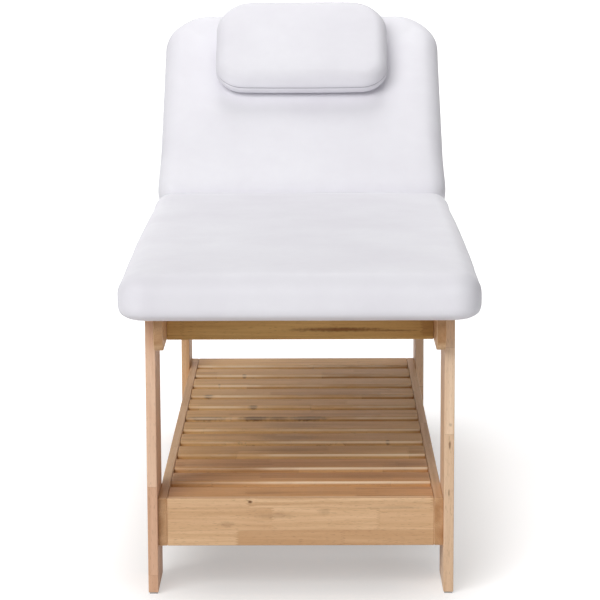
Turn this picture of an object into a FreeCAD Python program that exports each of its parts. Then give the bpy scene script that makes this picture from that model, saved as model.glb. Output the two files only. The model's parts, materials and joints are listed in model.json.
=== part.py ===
import FreeCAD, Part
import os
import re

# Treatment bed with an open slatted wooden base, a fixed seat pad and a tilting backrest.
# Units are millimetres. X runs across the bed, Y from the foot end to the head end, Z up.
# The origin lies on the floor, in the middle of the space the bed takes with its backrest
# raised to the stored pose. Every sub-part's size and place is a formula in the driving sizes.

doc = FreeCAD.newDocument("TreatmentBed")

# Driving sizes: name, value, what it is.
SIZES = [
    ("base_width", 608, "outside of the left legs to outside of the right legs"),
    ("base_length", 1470, "front face of the foot legs to back face of the head legs"),
    ("base_height", 572, "floor to the top of the rails"),
    ("leg_thickness", 20, "leg board across the bed"),
    ("leg_width", 146, "leg board along the bed"),
    ("glide_thickness", 3, "rubber sole under each leg"),
    ("glide_inset", 2, "sole inside the leg's outline"),
    ("edge_round", 2, "eased edge of every board"),
    ("rail_thickness", 18, "rails, cross rails and shelf frame"),
    ("rail_height", 72, "top rails and top cross rails"),
    ("rail_overhang", 58, "top rail past the legs at either end"),
    ("rail_end_round", 36, "rounded lower corner of a top rail's end"),
    ("cross_rail_setback", 85, "foot cross rail behind the foot legs' front face"),
    ("middle_rail_offset", 40, "middle cross rail in front of the backrest hinge"),
    ("top_cleat_size", 20, "square cleat between a top rail and the seat board"),
    ("shelf_top", 192, "floor to the top of the shelf"),
    ("shelf_rail_height", 97, "shelf rails and aprons"),
    ("shelf_setback", 16, "shelf frame behind the legs' outer faces"),
    ("slat_width", 76, "shelf slat along the bed"),
    ("slat_thickness", 15, "shelf slat"),
    ("slat_end_gap", 0.5, "slat end to shelf rail"),
    ("shelf_cleat_width", 20, "cleat under the slat ends, across the bed"),
    ("shelf_cleat_height", 25, "cleat under the slat ends, upright"),
    ("pad_width", 700, "seat and backrest pads across the bed, beside their corners"),
    ("pad_thickness", 92, "pads at their edges, with the board inside"),
    ("pad_crown", 6, "rise of a pad's middle over its edges"),
    ("seat_side_bow", 4.5, "how far the filling swells the seat's long sides out, midway"),
    ("foot_overhang", 130, "seat pad past the foot legs"),
    ("foot_corner_extra", 17, "plan corner radius at the foot, over the edge's own round"),
    ("head_corner_extra", 70, "plan corner radius at the head, over the edge's own round"),
    ("hinge_corner_extra", 6, "plan corner radius beside the hinge, over the edge's own round"),
    ("seat_length", 1295, "foot tip of the seat pad to the hinge axis"),
    ("backrest_length", 628, "hinge axis to the head end of the backrest pad"),
    ("hinge_gap", 4.9, "hinge axis to either pad's end"),
    ("board_thickness", 15, "plywood board inside each pad"),
    ("board_inset", 46, "board's edge inside the pad's outline"),
    ("board_corner_round", 65, "plan corner of the backrest board at the head"),
    ("batten_thickness", 18, "upright batten that carries the hinges"),
    ("batten_setback", 1.5, "batten's face behind the pad's end"),
    ("batten_clearance", 5, "batten's top below the hinge axis"),
    ("rest_gap", 0.4, "underside of the flat backrest over the rails"),
    ("rest_tilt", 42, "backrest angle in the stored pose, degrees"),
    ("max_tilt", 50, "steepest backrest angle, degrees"),
    ("hinge_width", 80, "one hinge across the bed"),
    ("hinge_spacing", 210, "from one hinge to the next"),
    ("leaf_thickness", 2, "hinge leaf"),
    ("leaf_foot_gap", 4, "lower edge of a leaf over the underside of the boards"),
    ("leaf_relief", 0.3, "pad's end clear of the hinge leaves"),
    ("barrel_radius", 3.8, "hinge barrel"),
    ("hinge_pin_radius", 2, "hinge pin"),
    ("knuckle_gap", 0.3, "between two knuckles"),
    ("pin_head_length", 1.5, "upset head of the hinge pin"),
    ("running_clearance", 0.05, "shaft to bore, on the radius"),
    ("arm_length", 262, "hinge axis to the stay's pivot, and to the stud that its slot rides on"),
    ("bracket_drop", 16, "stay pivot below the boards' underside"),
    ("bracket_thickness", 3, "steel plate of the stay bracket"),
    ("bracket_width", 22, "ear of the stay bracket"),
    ("bracket_flange_width", 34, "flange screwed to the board, across the bed"),
    ("bracket_flange_length", 56, "flange screwed to the board, along the backrest"),
    ("stay_width", 20, "stay plate"),
    ("stay_thickness", 4, "stay plate"),
    ("stay_side_clearance", 0.5, "stay to bracket, spacer and knob"),
    ("stay_rail_clearance", 2.5, "bracket to top rail"),
    ("slot_clearance", 0.3, "stud to slot, on the radius"),
    ("slot_overrun", 1, "slot past the stud's end positions"),
    ("stay_tail", 9, "stay past the slot's end round"),
    ("stud_depth", 44, "stud below the top of the rails"),
    ("stud_radius", 4, "stud through rail and leg"),
    ("stud_head_radius", 8, "stud's head, sunk in the leg"),
    ("spacer_radius", 8, "sleeve between rail and stay"),
    ("pivot_radius", 4, "stay pivot pin"),
    ("pivot_head_radius", 7, "head of the stay pivot pin"),
    ("pivot_head_length", 2.5, "head of the stay pivot pin"),
    ("pivot_tail_length", 1.2, "riveted end of the stay pivot pin"),
    ("knob_radius", 13, "clamp knob's core"),
    ("knob_lobe_radius", 5, "each lobe of the clamp knob"),
    ("knob_length", 18, "clamp knob's grip"),
    ("knob_neck_radius", 9, "knob's collar beside the stay"),
    ("knob_neck_length", 6, "knob's collar beside the stay"),
    ("bolt_radius", 3, "connector bolt's shank"),
    ("bolt_head_radius", 6.5, "connector bolt's head"),
    ("bolt_head_length", 4, "connector bolt's head, sunk in the leg"),
    ("bolt_spread", 76, "between the two bolts of a joint"),
    ("bolt_clearance", 0.2, "bolt to its hole, on the radius"),
    ("socket_radius", 2.4, "key socket in a bolt head"),
    ("socket_depth", 2.4, "key socket in a bolt head"),
    ("insert_radius", 4.5, "threaded insert in a rail"),
    ("insert_length", 12, "threaded insert in a rail"),
    ("screw_radius", 1.75, "wood screw's shank"),
    ("screw_head_radius", 3.6, "wood screw's head"),
    ("screw_head_length", 1.6, "wood screw's head"),
    ("screw_bite", 10, "wood screw's length in the second piece"),
    ("screw_margin", 12, "screw to the edge of the plate that it holds"),
    ("pillow_width", 425, "pillow across the bed, beside its corners"),
    ("pillow_length", 284, "pillow along the backrest"),
    ("pillow_thickness", 62, "pillow at its edges"),
    ("pillow_crown", 9, "rise of the pillow's middle over its edges"),
    ("pillow_side_bow", 1.5, "how far the filling swells the pillow's sides out, midway"),
    ("pillow_low_corner_extra", 37, "lower plan corners, over the edge's own round"),
    ("pillow_high_corner_extra", 61, "upper plan corners, over the edge's own round"),
    ("pillow_start", 316, "hinge axis to the pillow's lower end, along the backrest"),
    ("pillow_gap", 0.3, "tape to the backrest pad"),
    ("tape_width", 40, "grip tape across the bed"),
    ("tape_thickness", 2, "grip tape"),
    ("tape_clearance", 0.15, "tape to the pillow's soft underside"),
    ("tape_spacing", 200, "from one grip tape to the other"),
    ("tape_margin", 40, "tape's end inside the pillow's end"),
    ("cut_overrun", 1, "how far a cutting tool passes the face that it cuts"),
]

# Shares of the sizes they follow, and counts.
PAD_TOP_ROUND_SHARE = 0.445
PAD_BOTTOM_ROUND_SHARE = 0.345
PILLOW_TOP_ROUND_SHARE = 0.48
PILLOW_BOTTOM_ROUND_SHARE = 0.40
END_STATION_SHARES = (0.01, 0.05, 0.14, 0.28, 0.46, 0.7, 1.0)
MIDDLE_STATION_SHARES = (0.03, 0.08, 0.18, 0.34, 0.5, 0.66, 0.82, 0.92, 0.97)
END_CROWN_SHARE = 0.06
SLAT_COUNT = 12
KNUCKLE_COUNT = 5
KNOB_LOBE_COUNT = 6
BOARD_SCREW_SHARES = (0.06, 0.35, 0.65, 0.94)
LEAF_SCREW_SHARES = (0.3, 0.7)
FLANGE_SCREW_SHARE = 0.45

sheet = doc.addObject("Spreadsheet::Sheet", "Sizes")
for row, (name, value, meaning) in enumerate(SIZES, start=1):
    sheet.set(f"A{row}", name)
    sheet.set(f"B{row}", str(value))
    sheet.set(f"C{row}", meaning)
    sheet.setAlias(f"B{row}", name)
doc.recompute()

# Places and lengths that follow from the driving sizes.
FORMULAS = {
    "pad_top_round": f"pad_thickness * {PAD_TOP_ROUND_SHARE}",
    "pad_bottom_round": f"pad_thickness * {PAD_BOTTOM_ROUND_SHARE}",
    # The hinge axis is as high as the centre of the round on the pads' top edges, so the
    # two rounds roll past each other when the backrest rises.
    "hinge_rise": "pad_thickness - pad_top_round",
    "hinge_z": "base_height + hinge_rise",
    # Furthest point of the raised backrest behind the hinge: its lower head edge.
    "head_reach": "(backrest_length - pad_bottom_round) * cos(rest_tilt)"
                  " + (hinge_rise - pad_bottom_round) * sin(rest_tilt) + pad_bottom_round",
    "foot_y": "0 - (seat_length + head_reach) / 2",
    "hinge_y": "foot_y + seat_length",
    "leg_front_y": "foot_y + foot_overhang",
    "leg_back_y": "leg_front_y + base_length",
    "leg_inner_x": "base_width / 2 - leg_thickness",
    "rail_inner_x": "leg_inner_x - rail_thickness",
    "rail_bottom_z": "base_height - rail_height",
    "shelf_front_y": "leg_front_y + shelf_setback",
    "shelf_back_y": "leg_back_y - shelf_setback",
    "shelf_inner_y": "shelf_front_y + rail_thickness",
    "shelf_inner_length": "base_length - 2 * shelf_setback - 2 * rail_thickness",
    "slat_pitch": f"(shelf_inner_length - slat_width) / {SLAT_COUNT - 1}",
    "slat_bottom_z": "shelf_top - slat_thickness",
    "cross_rail_y": "leg_front_y + cross_rail_setback",
    "middle_rail_y": "hinge_y - middle_rail_offset - rail_thickness",
    "board_half": "pad_width / 2 - board_inset",
    # A cleat reaches in from its rail far enough to take its screws into the seat board.
    "top_cleat_inner_x": "min(rail_inner_x - top_cleat_size;"
                         " board_half - screw_margin - top_cleat_size / 2)",
    "top_cleat_wide": "rail_inner_x - top_cleat_inner_x",
    "board_screw_x": "top_cleat_inner_x + top_cleat_size / 2",
    "batten_gap": "hinge_gap + batten_setback",
    "batten_height": "hinge_rise - board_thickness - batten_clearance",
    # The backrest's own frame has its origin on the hinge axis and its Y along the board.
    "back_under": "rest_gap - hinge_rise",
    "stud_drop": "hinge_rise + stud_depth",
    "pivot_drop": "hinge_rise + bracket_drop",
    "stud_along": "sqrt(arm_length * arm_length - stud_drop * stud_drop)",
    "pivot_along": "sqrt(arm_length * arm_length - pivot_drop * pivot_drop)",
    "stud_angle": "asin(stud_drop / arm_length) / 1deg",
    "pivot_angle": "asin(pivot_drop / arm_length) / 1deg",
    "stud_y": "hinge_y + stud_along",
    "stud_z": "hinge_z - stud_drop",
    # Hinge, pivot and stud make a triangle with two equal sides, so the stay turns by
    # half the backrest's tilt and its slot always points at the stud.
    "stay_turn": "(rest_tilt - stud_angle - pivot_angle) / 2 - 90",
    "stay_short": "2 * arm_length * sin((stud_angle - pivot_angle) / 2)",
    "stay_long": "2 * arm_length * sin((stud_angle - pivot_angle + max_tilt) / 2)",
    "slot_radius": "stud_radius + slot_clearance",
    "slot_start": "stay_short - slot_overrun",
    "slot_end": "stay_long + slot_overrun",
    "stay_outer_x": "rail_inner_x - stay_rail_clearance - bracket_thickness"
                    " - stay_side_clearance",
    "stay_inner_x": "stay_outer_x - stay_thickness",
    "ear_inner_x": "stay_outer_x + stay_side_clearance",
    "ear_outer_x": "ear_inner_x + bracket_thickness",
    "flange_inner_x": "min(ear_outer_x; board_half) - bracket_flange_width",
    "knob_outer_x": "stay_inner_x - stay_side_clearance",
    "knob_inner_x": "knob_outer_x - knob_neck_length - knob_length",
    "tape_under": "pad_top_round + pad_crown + pillow_gap",
    "pillow_under": "tape_under + tape_thickness + tape_clearance",
}
CELLS = {name for name, value, meaning in SIZES}


def expand(formula):
    """Turn the names in a formula into the cells of the driving sizes."""
    def one(match):
        word = match.group(0)
        if word in FORMULAS:
            return "(" + expand(FORMULAS[word]) + ")"
        if word in CELLS:
            return "Sizes." + word
        return word
    return re.sub(r"[a-z][a-z_]+", one, formula)


def size(formula):
    """The number that a formula gives now."""
    return float(sheet.evalExpression(expand(formula)))


def bind(obj, **formulas):
    for name, formula in formulas.items():
        obj.setExpression(name, expand(formula))


class Frame:
    """An origin in the YZ plane and a tilt about the X axis, which pieces are placed in."""

    def __init__(self, y, z, tilt):
        self.y = y
        self.z = z
        self.tilt = tilt

    def put(self, obj, x="0", y="0", z="0"):
        obj.Placement = FreeCAD.Placement(
            FreeCAD.Vector(0, 0, 0), FreeCAD.Rotation(FreeCAD.Vector(1, 0, 0), 1))
        obj.setExpression("Placement.Base.x", expand(x))
        obj.setExpression("Placement.Base.y", expand(
            f"{self.y} + ({y}) * cos({self.tilt}) - ({z}) * sin({self.tilt})"))
        obj.setExpression("Placement.Base.z", expand(
            f"{self.z} + ({y}) * sin({self.tilt}) + ({z}) * cos({self.tilt})"))
        obj.setExpression("Placement.Rotation.Angle", expand(self.tilt))
        return obj


FLOOR = Frame("0", "0", "0")
HINGE_LINE = Frame("hinge_y", "hinge_z", "0")
BACKREST = Frame("hinge_y", "hinge_z", "rest_tilt")
STAY = Frame(
    "hinge_y + pivot_along * cos(rest_tilt) + pivot_drop * sin(rest_tilt)",
    "hinge_z + pivot_along * sin(rest_tilt) - pivot_drop * cos(rest_tilt)",
    "stay_turn")

PARTS = []
SIDES = {"left": -1, "right": 1}


def part(node, obj):
    """Name a finished sub-part."""
    obj.Label = node
    PARTS.append(obj)
    return obj


def low_x(side, near, depth):
    """Lower X of a piece that starts at near on the right side, or its mirror on the left."""
    return near if SIDES[side] > 0 else f"0 - ({near}) - ({depth})"


def block(name, x, y, z, wide, deep, high, frame=FLOOR):
    """Plain box."""
    box = doc.addObject("Part::Box", name)
    bind(box, Length=wide, Width=deep, Height=high)
    return frame.put(box, x, y, z)


def board(name, x, y, z, wide, deep, high, frame=FLOOR):
    """Sawn board with all its edges eased."""
    body = doc.addObject("PartDesign::Body", name)
    box = body.newObject("PartDesign::AdditiveBox", name + "_blank")
    bind(box, Length=wide, Width=deep, Height=high)
    doc.recompute()
    eased = body.newObject("PartDesign::Fillet", name + "_eased")
    eased.Base = (box, [f"Edge{number + 1}" for number in range(len(box.Shape.Edges))])
    bind(eased, Radius="edge_round")
    body.Tip = eased
    return frame.put(body, x, y, z)


def rod(name, axis, radius, length, x, y, z):
    """Cylinder that starts at a point and runs along X, Y or Z."""
    cylinder = doc.addObject("Part::Cylinder", name)
    bind(cylinder, Radius=radius, Height=length)
    FLOOR.put(cylinder, x, y, z)
    if axis != "z":
        cylinder.setExpression("Placement.Rotation.Angle", None)
        turn_axis = FreeCAD.Vector(0, 1, 0) if axis == "x" else FreeCAD.Vector(-1, 0, 0)
        cylinder.Placement = FreeCAD.Placement(
            FreeCAD.Vector(0, 0, 0), FreeCAD.Rotation(turn_axis, 90))
    return cylinder


def group(name, pieces):
    """Separate solids that share a node, or the tools of one cut."""
    compound = doc.addObject("Part::Compound", name)
    compound.Links = pieces
    return compound


def fuse(name, pieces):
    joined = doc.addObject("Part::MultiFuse", name)
    joined.Shapes = pieces
    return joined


def cut(name, base, tools):
    """A piece with holes or recesses."""
    result = doc.addObject("Part::Cut", name)
    result.Base = base
    result.Tool = tools[0] if len(tools) == 1 else group(name + "_tools", tools)
    return result


# Where the connector bolts are, on each side: along the bed and up.
def bolt_places():
    places = []
    for end, centre in (("foot", "leg_front_y + leg_width / 2"),
                        ("head", "leg_back_y - leg_width / 2")):
        for level, height in (("top", "base_height - rail_height / 2"),
                              ("shelf", "shelf_top - shelf_rail_height / 2")):
            for number, sign in ((1, "-"), (2, "+")):
                places.append((end, level, number, f"{centre} {sign} bolt_spread / 2", height))
    return places


BOLTS = bolt_places()


def make_legs():
    """Four upright boards, drilled for the connector bolts and, at the head, for the studs."""
    for side in SIDES:
        for end, start in (("foot", "leg_front_y"), ("head", "leg_back_y - leg_width")):
            name = f"{side}_{end}_leg"
            plank = board(name + "_plank", low_x(side, "leg_inner_x", "leg_thickness"), start,
                          "glide_thickness", "leg_thickness", "leg_width",
                          "base_height - glide_thickness")
            tools = []
            for bolt_end, level, number, along, up in BOLTS:
                if bolt_end != end:
                    continue
                tools.append(rod(f"{name}_{level}_{number}_hole", "x",
                                 "bolt_radius + bolt_clearance",
                                 "leg_thickness + 2 * cut_overrun",
                                 low_x(side, "leg_inner_x - cut_overrun",
                                       "leg_thickness + 2 * cut_overrun"), along, up))
                tools.append(rod(f"{name}_{level}_{number}_recess", "x",
                                 "bolt_head_radius + bolt_clearance",
                                 "bolt_head_length + cut_overrun",
                                 low_x(side, "base_width / 2 - bolt_head_length",
                                       "bolt_head_length + cut_overrun"), along, up))
            if end == "head":
                tools.append(rod(name + "_stud_hole", "x", "stud_radius + bolt_clearance",
                                 "leg_thickness + 2 * cut_overrun",
                                 low_x(side, "leg_inner_x - cut_overrun",
                                       "leg_thickness + 2 * cut_overrun"),
                                 "stud_y", "stud_z"))
                tools.append(rod(name + "_stud_recess", "x",
                                 "stud_head_radius + bolt_clearance",
                                 "bolt_head_length + cut_overrun",
                                 low_x(side, "base_width / 2 - bolt_head_length",
                                       "bolt_head_length + cut_overrun"),
                                 "stud_y", "stud_z"))
            part(name, cut(name, plank, tools))


def make_glides():
    soles = []
    for side in SIDES:
        for end, start in (("foot", "leg_front_y"), ("head", "leg_back_y - leg_width")):
            soles.append(block(f"{side}_{end}_glide",
                               low_x(side, "leg_inner_x + glide_inset",
                                     "leg_thickness - 2 * glide_inset"),
                               f"{start} + glide_inset", "0",
                               "leg_thickness - 2 * glide_inset",
                               "leg_width - 2 * glide_inset", "glide_thickness"))
    part("floor_glides", group("floor_glides", soles))


def rail_holes(name, side, level):
    """Holes for the bolts and their threaded inserts in one side rail."""
    tools = []
    for end, bolt_level, number, along, up in BOLTS:
        if bolt_level != level:
            continue
        tools.append(rod(f"{name}_{end}_{number}_hole", "x", "bolt_radius + bolt_clearance",
                         "rail_thickness + 2 * cut_overrun",
                         low_x(side, "rail_inner_x - cut_overrun",
                               "rail_thickness + 2 * cut_overrun"), along, up))
        tools.append(rod(f"{name}_{end}_{number}_seat", "x", "insert_radius",
                         "insert_length + cut_overrun",
                         low_x(side, "rail_inner_x - cut_overrun",
                               "insert_length + cut_overrun"), along, up))
    return tools


def make_top_rails():
    """Long rails inside the legs, with a rounded lower corner at each end."""
    for side in SIDES:
        name = f"{side}_top_rail"
        body = doc.addObject("PartDesign::Body", name + "_plank")
        box = body.newObject("PartDesign::AdditiveBox", name + "_blank")
        bind(box, Length="rail_thickness", Width="base_length + 2 * rail_overhang",
             Height="rail_height")
        doc.recompute()
        corners = []
        for number, edge in enumerate(box.Shape.Edges, start=1):
            bounds = edge.BoundBox
            if bounds.ZMax <= 0 and bounds.YLength <= 0:
                corners.append(f"Edge{number}")
        rounded = body.newObject("PartDesign::Fillet", name + "_rounded")
        rounded.Base = (box, corners)
        bind(rounded, Radius="rail_end_round")
        doc.recompute()
        eased = body.newObject("PartDesign::Fillet", name + "_eased")
        eased.Base = (rounded, [f"Edge{number + 1}"
                                for number in range(len(rounded.Shape.Edges))])
        bind(eased, Radius="edge_round")
        body.Tip = eased
        FLOOR.put(body, low_x(side, "rail_inner_x", "rail_thickness"),
                  "leg_front_y - rail_overhang", "rail_bottom_z")
        tools = rail_holes(name, side, "top")
        tools.append(rod(name + "_stud_hole", "x", "stud_radius + bolt_clearance",
                         "rail_thickness + 2 * cut_overrun",
                         low_x(side, "rail_inner_x - cut_overrun",
                               "rail_thickness + 2 * cut_overrun"), "stud_y", "stud_z"))
        part(name, cut(name, body, tools))


def make_top_cross_rails():
    for place, start in (("foot", "cross_rail_y"), ("middle", "middle_rail_y"),
                         ("head", "leg_back_y - rail_thickness")):
        name = f"{place}_cross_rail"
        part(name, board(name, "0 - rail_inner_x", start, "rail_bottom_z",
                         "2 * rail_inner_x", "rail_thickness", "rail_height"))


TOP_CLEAT_START = "cross_rail_y + rail_thickness"
TOP_CLEAT_LENGTH = "middle_rail_y - cross_rail_y - rail_thickness"


def board_screw_y(share):
    return f"{TOP_CLEAT_START} + ({TOP_CLEAT_LENGTH}) * {share}"


def make_top_cleats():
    """Cleats along the top rails, screwed up into the seat board."""
    screws = []
    for side in SIDES:
        name = f"{side}_top_cleat"
        plank = board(name + "_plank", low_x(side, "top_cleat_inner_x", "top_cleat_wide"),
                      TOP_CLEAT_START, "base_height - top_cleat_size",
                      "top_cleat_wide", TOP_CLEAT_LENGTH, "top_cleat_size")
        tools = []
        for number, share in enumerate(BOARD_SCREW_SHARES, start=1):
            across = low_x(side, "board_screw_x", "0")
            tools.append(rod(f"{name}_hole_{number}", "z", "screw_radius + running_clearance",
                             "top_cleat_size + 2 * cut_overrun", across,
                             board_screw_y(share),
                             "base_height - top_cleat_size - cut_overrun"))
            screws.append(wood_screw(f"{side}_board_screw_{number}", across,
                                     board_screw_y(share), "base_height - top_cleat_size",
                                     "top_cleat_size + screw_bite"))
        part(name, cut(name, plank, tools))
    part("board_screws", group("board_screws", screws))


def wood_screw(name, x, y, z, length):
    """Upright wood screw whose head lies against the face at z from below."""
    return fuse(name, [
        rod(name + "_shank", "z", "screw_radius", length, x, y, z),
        rod(name + "_head", "z", "screw_head_radius", "screw_head_length", x, y,
            f"{z} - screw_head_length")])


def make_shelf_frame():
    """Side rails with an apron between them at each end, and cleats for the slats."""
    for side in SIDES:
        name = f"{side}_shelf_rail"
        plank = board(name + "_plank", low_x(side, "rail_inner_x", "rail_thickness"),
                      "shelf_front_y", "shelf_top - shelf_rail_height", "rail_thickness",
                      "base_length - 2 * shelf_setback", "shelf_rail_height")
        part(name, cut(name, plank, rail_holes(name, side, "shelf")))
    for end, start in (("foot", "shelf_front_y"), ("head", "shelf_back_y - rail_thickness")):
        name = f"{end}_shelf_apron"
        part(name, board(name, "0 - rail_inner_x", start, "shelf_top - shelf_rail_height",
                         "2 * rail_inner_x", "rail_thickness", "shelf_rail_height"))


def slat_y(number):
    return f"shelf_inner_y + {number} * slat_pitch"


def slat_screw_x(side):
    return low_x(side, "rail_inner_x - shelf_cleat_width / 2", "0")


def slat_screw_y(number):
    return f"{slat_y(number)} + slat_width / 2"


def make_slats():
    """Slats across the shelf, screwed from below through the cleats."""
    screws = []
    for side in SIDES:
        name = f"{side}_shelf_cleat"
        plank = board(name + "_plank",
                      low_x(side, "rail_inner_x - shelf_cleat_width", "shelf_cleat_width"),
                      "shelf_inner_y", "slat_bottom_z - shelf_cleat_height",
                      "shelf_cleat_width", "shelf_inner_length", "shelf_cleat_height")
        tools = []
        for number in range(SLAT_COUNT):
            tools.append(rod(f"{name}_hole_{number + 1}", "z",
                             "screw_radius + running_clearance",
                             "shelf_cleat_height + 2 * cut_overrun", slat_screw_x(side),
                             slat_screw_y(number),
                             "slat_bottom_z - shelf_cleat_height - cut_overrun"))
            screws.append(wood_screw(f"{side}_slat_screw_{number + 1}", slat_screw_x(side),
                                     slat_screw_y(number),
                                     "slat_bottom_z - shelf_cleat_height",
                                     "shelf_cleat_height + screw_bite"))
        part(name, cut(name, plank, tools))
    for number in range(SLAT_COUNT):
        name = f"shelf_slat_{number + 1:02d}"
        plank = board(name + "_plank", "slat_end_gap - rail_inner_x", slat_y(number),
                      "slat_bottom_z", "2 * rail_inner_x - 2 * slat_end_gap", "slat_width",
                      "slat_thickness")
        tools = []
        for side in SIDES:
            tools.append(rod(f"{name}_{side}_hole", "z", "screw_radius + running_clearance",
                             "screw_bite + running_clearance + cut_overrun",
                             slat_screw_x(side), slat_screw_y(number),
                             "slat_bottom_z - cut_overrun"))
        part(name, cut(name, plank, tools))
    part("slat_screws", group("slat_screws", screws))


def make_bolts():
    """Connector bolts with sunk heads, and the threaded inserts that they turn into."""
    bolts = []
    inserts = []
    for side in SIDES:
        for end, level, number, along, up in BOLTS:
            name = f"{side}_{end}_{level}_bolt_{number}"
            length = "leg_thickness + rail_thickness - bolt_head_length"
            shank = rod(name + "_shank", "x", "bolt_radius", length,
                        low_x(side, "rail_inner_x", length), along, up)
            head = rod(name + "_head", "x", "bolt_head_radius", "bolt_head_length",
                       low_x(side, "base_width / 2 - bolt_head_length", "bolt_head_length"),
                       along, up)
            socket = rod(name + "_socket", "x", "socket_radius", "socket_depth + cut_overrun",
                         low_x(side, "base_width / 2 - socket_depth",
                               "socket_depth + cut_overrun"), along, up)
            bolts.append(cut(name, fuse(name + "_solid", [shank, head]), [socket]))
            sleeve = rod(name + "_insert_outer", "x", "insert_radius", "insert_length",
                         low_x(side, "rail_inner_x", "insert_length"), along, up)
            bore = rod(name + "_insert_bore", "x", "bolt_radius + running_clearance",
                       "insert_length + 2 * cut_overrun",
                       low_x(side, "rail_inner_x - cut_overrun",
                             "insert_length + 2 * cut_overrun"), along, up)
            inserts.append(cut(name + "_insert", sleeve, [bore]))
    part("connector_bolts", group("connector_bolts", bolts))
    part("threaded_inserts", group("threaded_inserts", inserts))


def rise(distance, radius):
    """How far a round of that radius has risen at a distance inside its end."""
    if distance >= radius:
        return radius
    return (radius * radius - (radius - distance) ** 2) ** 0.5


def cushion(wide, length, high, crown, bow, top_round, bottom_round, start_corner, end_corner):
    """Crowned pad with rounded edges and corners, its long sides bowed out midway.

    It runs from Y zero to its length, on Z zero, as a loft through cross sections of lines
    and arcs.
    """
    stations = [share * start_corner for share in END_STATION_SHARES]
    inner = length - start_corner - end_corner
    stations += [start_corner + share * inner for share in MIDDLE_STATION_SHARES]
    stations += [length - share * end_corner for share in reversed(END_STATION_SHARES)]
    sections = []
    for y in stations:
        corner = start_corner if y < length / 2 else end_corner
        inside = min(y, length - y)
        middle = 2 * y / length - 1
        half = wide / 2 - corner + rise(inside, corner) + bow * (1 - middle * middle)
        upper = rise(inside, top_round)
        lower = rise(inside, bottom_round)
        top = high - top_round + upper
        bottom = bottom_round - lower
        swell = crown * (END_CROWN_SHARE + (1 - END_CROWN_SHARE) * (1 - middle ** 4))
        bend = 0.5 ** 0.5
        points = {
            "bottom_right": (half - lower, bottom),
            "lower_bend": (half - lower * (1 - bend), bottom + lower * (1 - bend)),
            "low_side": (half, bottom + lower),
            "high_side": (half, top - upper),
            "upper_bend": (half - upper * (1 - bend), top - upper * (1 - bend)),
            "top_right": (half - upper, top),
        }
        right = {key: FreeCAD.Vector(x, y, z) for key, (x, z) in points.items()}
        left = {key: FreeCAD.Vector(-x, y, z) for key, (x, z) in points.items()}
        crest = FreeCAD.Vector(0, y, top + swell)
        sections.append(Part.Wire([
            Part.makeLine(left["bottom_right"], right["bottom_right"]),
            Part.Arc(right["bottom_right"], right["lower_bend"], right["low_side"]).toShape(),
            Part.makeLine(right["low_side"], right["high_side"]),
            Part.Arc(right["high_side"], right["upper_bend"], right["top_right"]).toShape(),
            Part.Arc(right["top_right"], crest, left["top_right"]).toShape(),
            Part.Arc(left["top_right"], left["upper_bend"], left["high_side"]).toShape(),
            Part.makeLine(left["high_side"], left["low_side"]),
            Part.Arc(left["low_side"], left["lower_bend"], left["bottom_right"]).toShape(),
        ]))
    return Part.makeLoft(sections, True, False)


def feature(name, shape, frame, y, z):
    obj = doc.addObject("Part::Feature", name)
    obj.Shape = shape
    return frame.put(obj, "0", y, z)


def upright_edges(shape, y):
    """Edges of a box that run along Z at that Y."""
    found = []
    for number, edge in enumerate(shape.Edges, start=1):
        bounds = edge.BoundBox
        upright = bounds.XLength + bounds.YLength < bounds.ZLength
        if upright and round(bounds.YMin - y) == 0:
            found.append((number, edge))
    return found


def pad_recess(board_end, hinge_end, inward, axis_height, corner=0):
    """Space for the board, the batten and the hinge leaves inside a pad.

    It is open at the pad's underside and at its hinge end. Inward is 1 where the pad lies
    on the positive Y side of its hinge end, and -1 on the other. Corner rounds the board's
    two plan corners away from the hinge.
    """
    half = size("board_half")
    over = size("cut_overrun")
    start = hinge_end - inward * over
    box = None
    for reach, top in (
            (board_end, size("board_thickness")),
            (hinge_end + inward * size("batten_setback + batten_thickness"),
             size("board_thickness + batten_height")),
            (hinge_end + inward * size("batten_setback + leaf_relief"),
             axis_height - size("hinge_pin_radius"))):
        piece = Part.makeBox(2 * half, abs(reach - start), top + over,
                             FreeCAD.Vector(-half, min(start, reach), -over))
        if box is None and corner > 0:
            piece = piece.makeFillet(corner, [edge for _, edge in upright_edges(piece, reach)])
        box = piece if box is None else box.fuse(piece)
    return box


HINGE_MIDDLES = ("0 - hinge_spacing", "0", "hinge_spacing")


def leaf_screw_places(middle):
    """Where the screws of one leaf sit: across the bed, and up from the hinge axis."""
    places = []
    for x_sign in ("-", "+"):
        for share in LEAF_SCREW_SHARES:
            places.append((f"{middle} {x_sign} (hinge_width / 2 - screw_margin)",
                           f"0 - batten_clearance - batten_height * {share}"))
    return places


def make_batten(owner, plank, frame, start):
    """Batten with the pilot holes of the hinge screws, which begin at start."""
    holes = []
    for middle in HINGE_MIDDLES:
        for x, z in leaf_screw_places(middle):
            holes.append(rod(f"{owner}_pilot_{len(holes)}", "y",
                             "screw_radius + running_clearance",
                             "screw_bite + running_clearance + cut_overrun", x, start, z))
    name = owner + "_hinge_batten"
    part(name, cut(name, plank, [frame.put(group(owner + "_pilots", holes))]))


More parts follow.
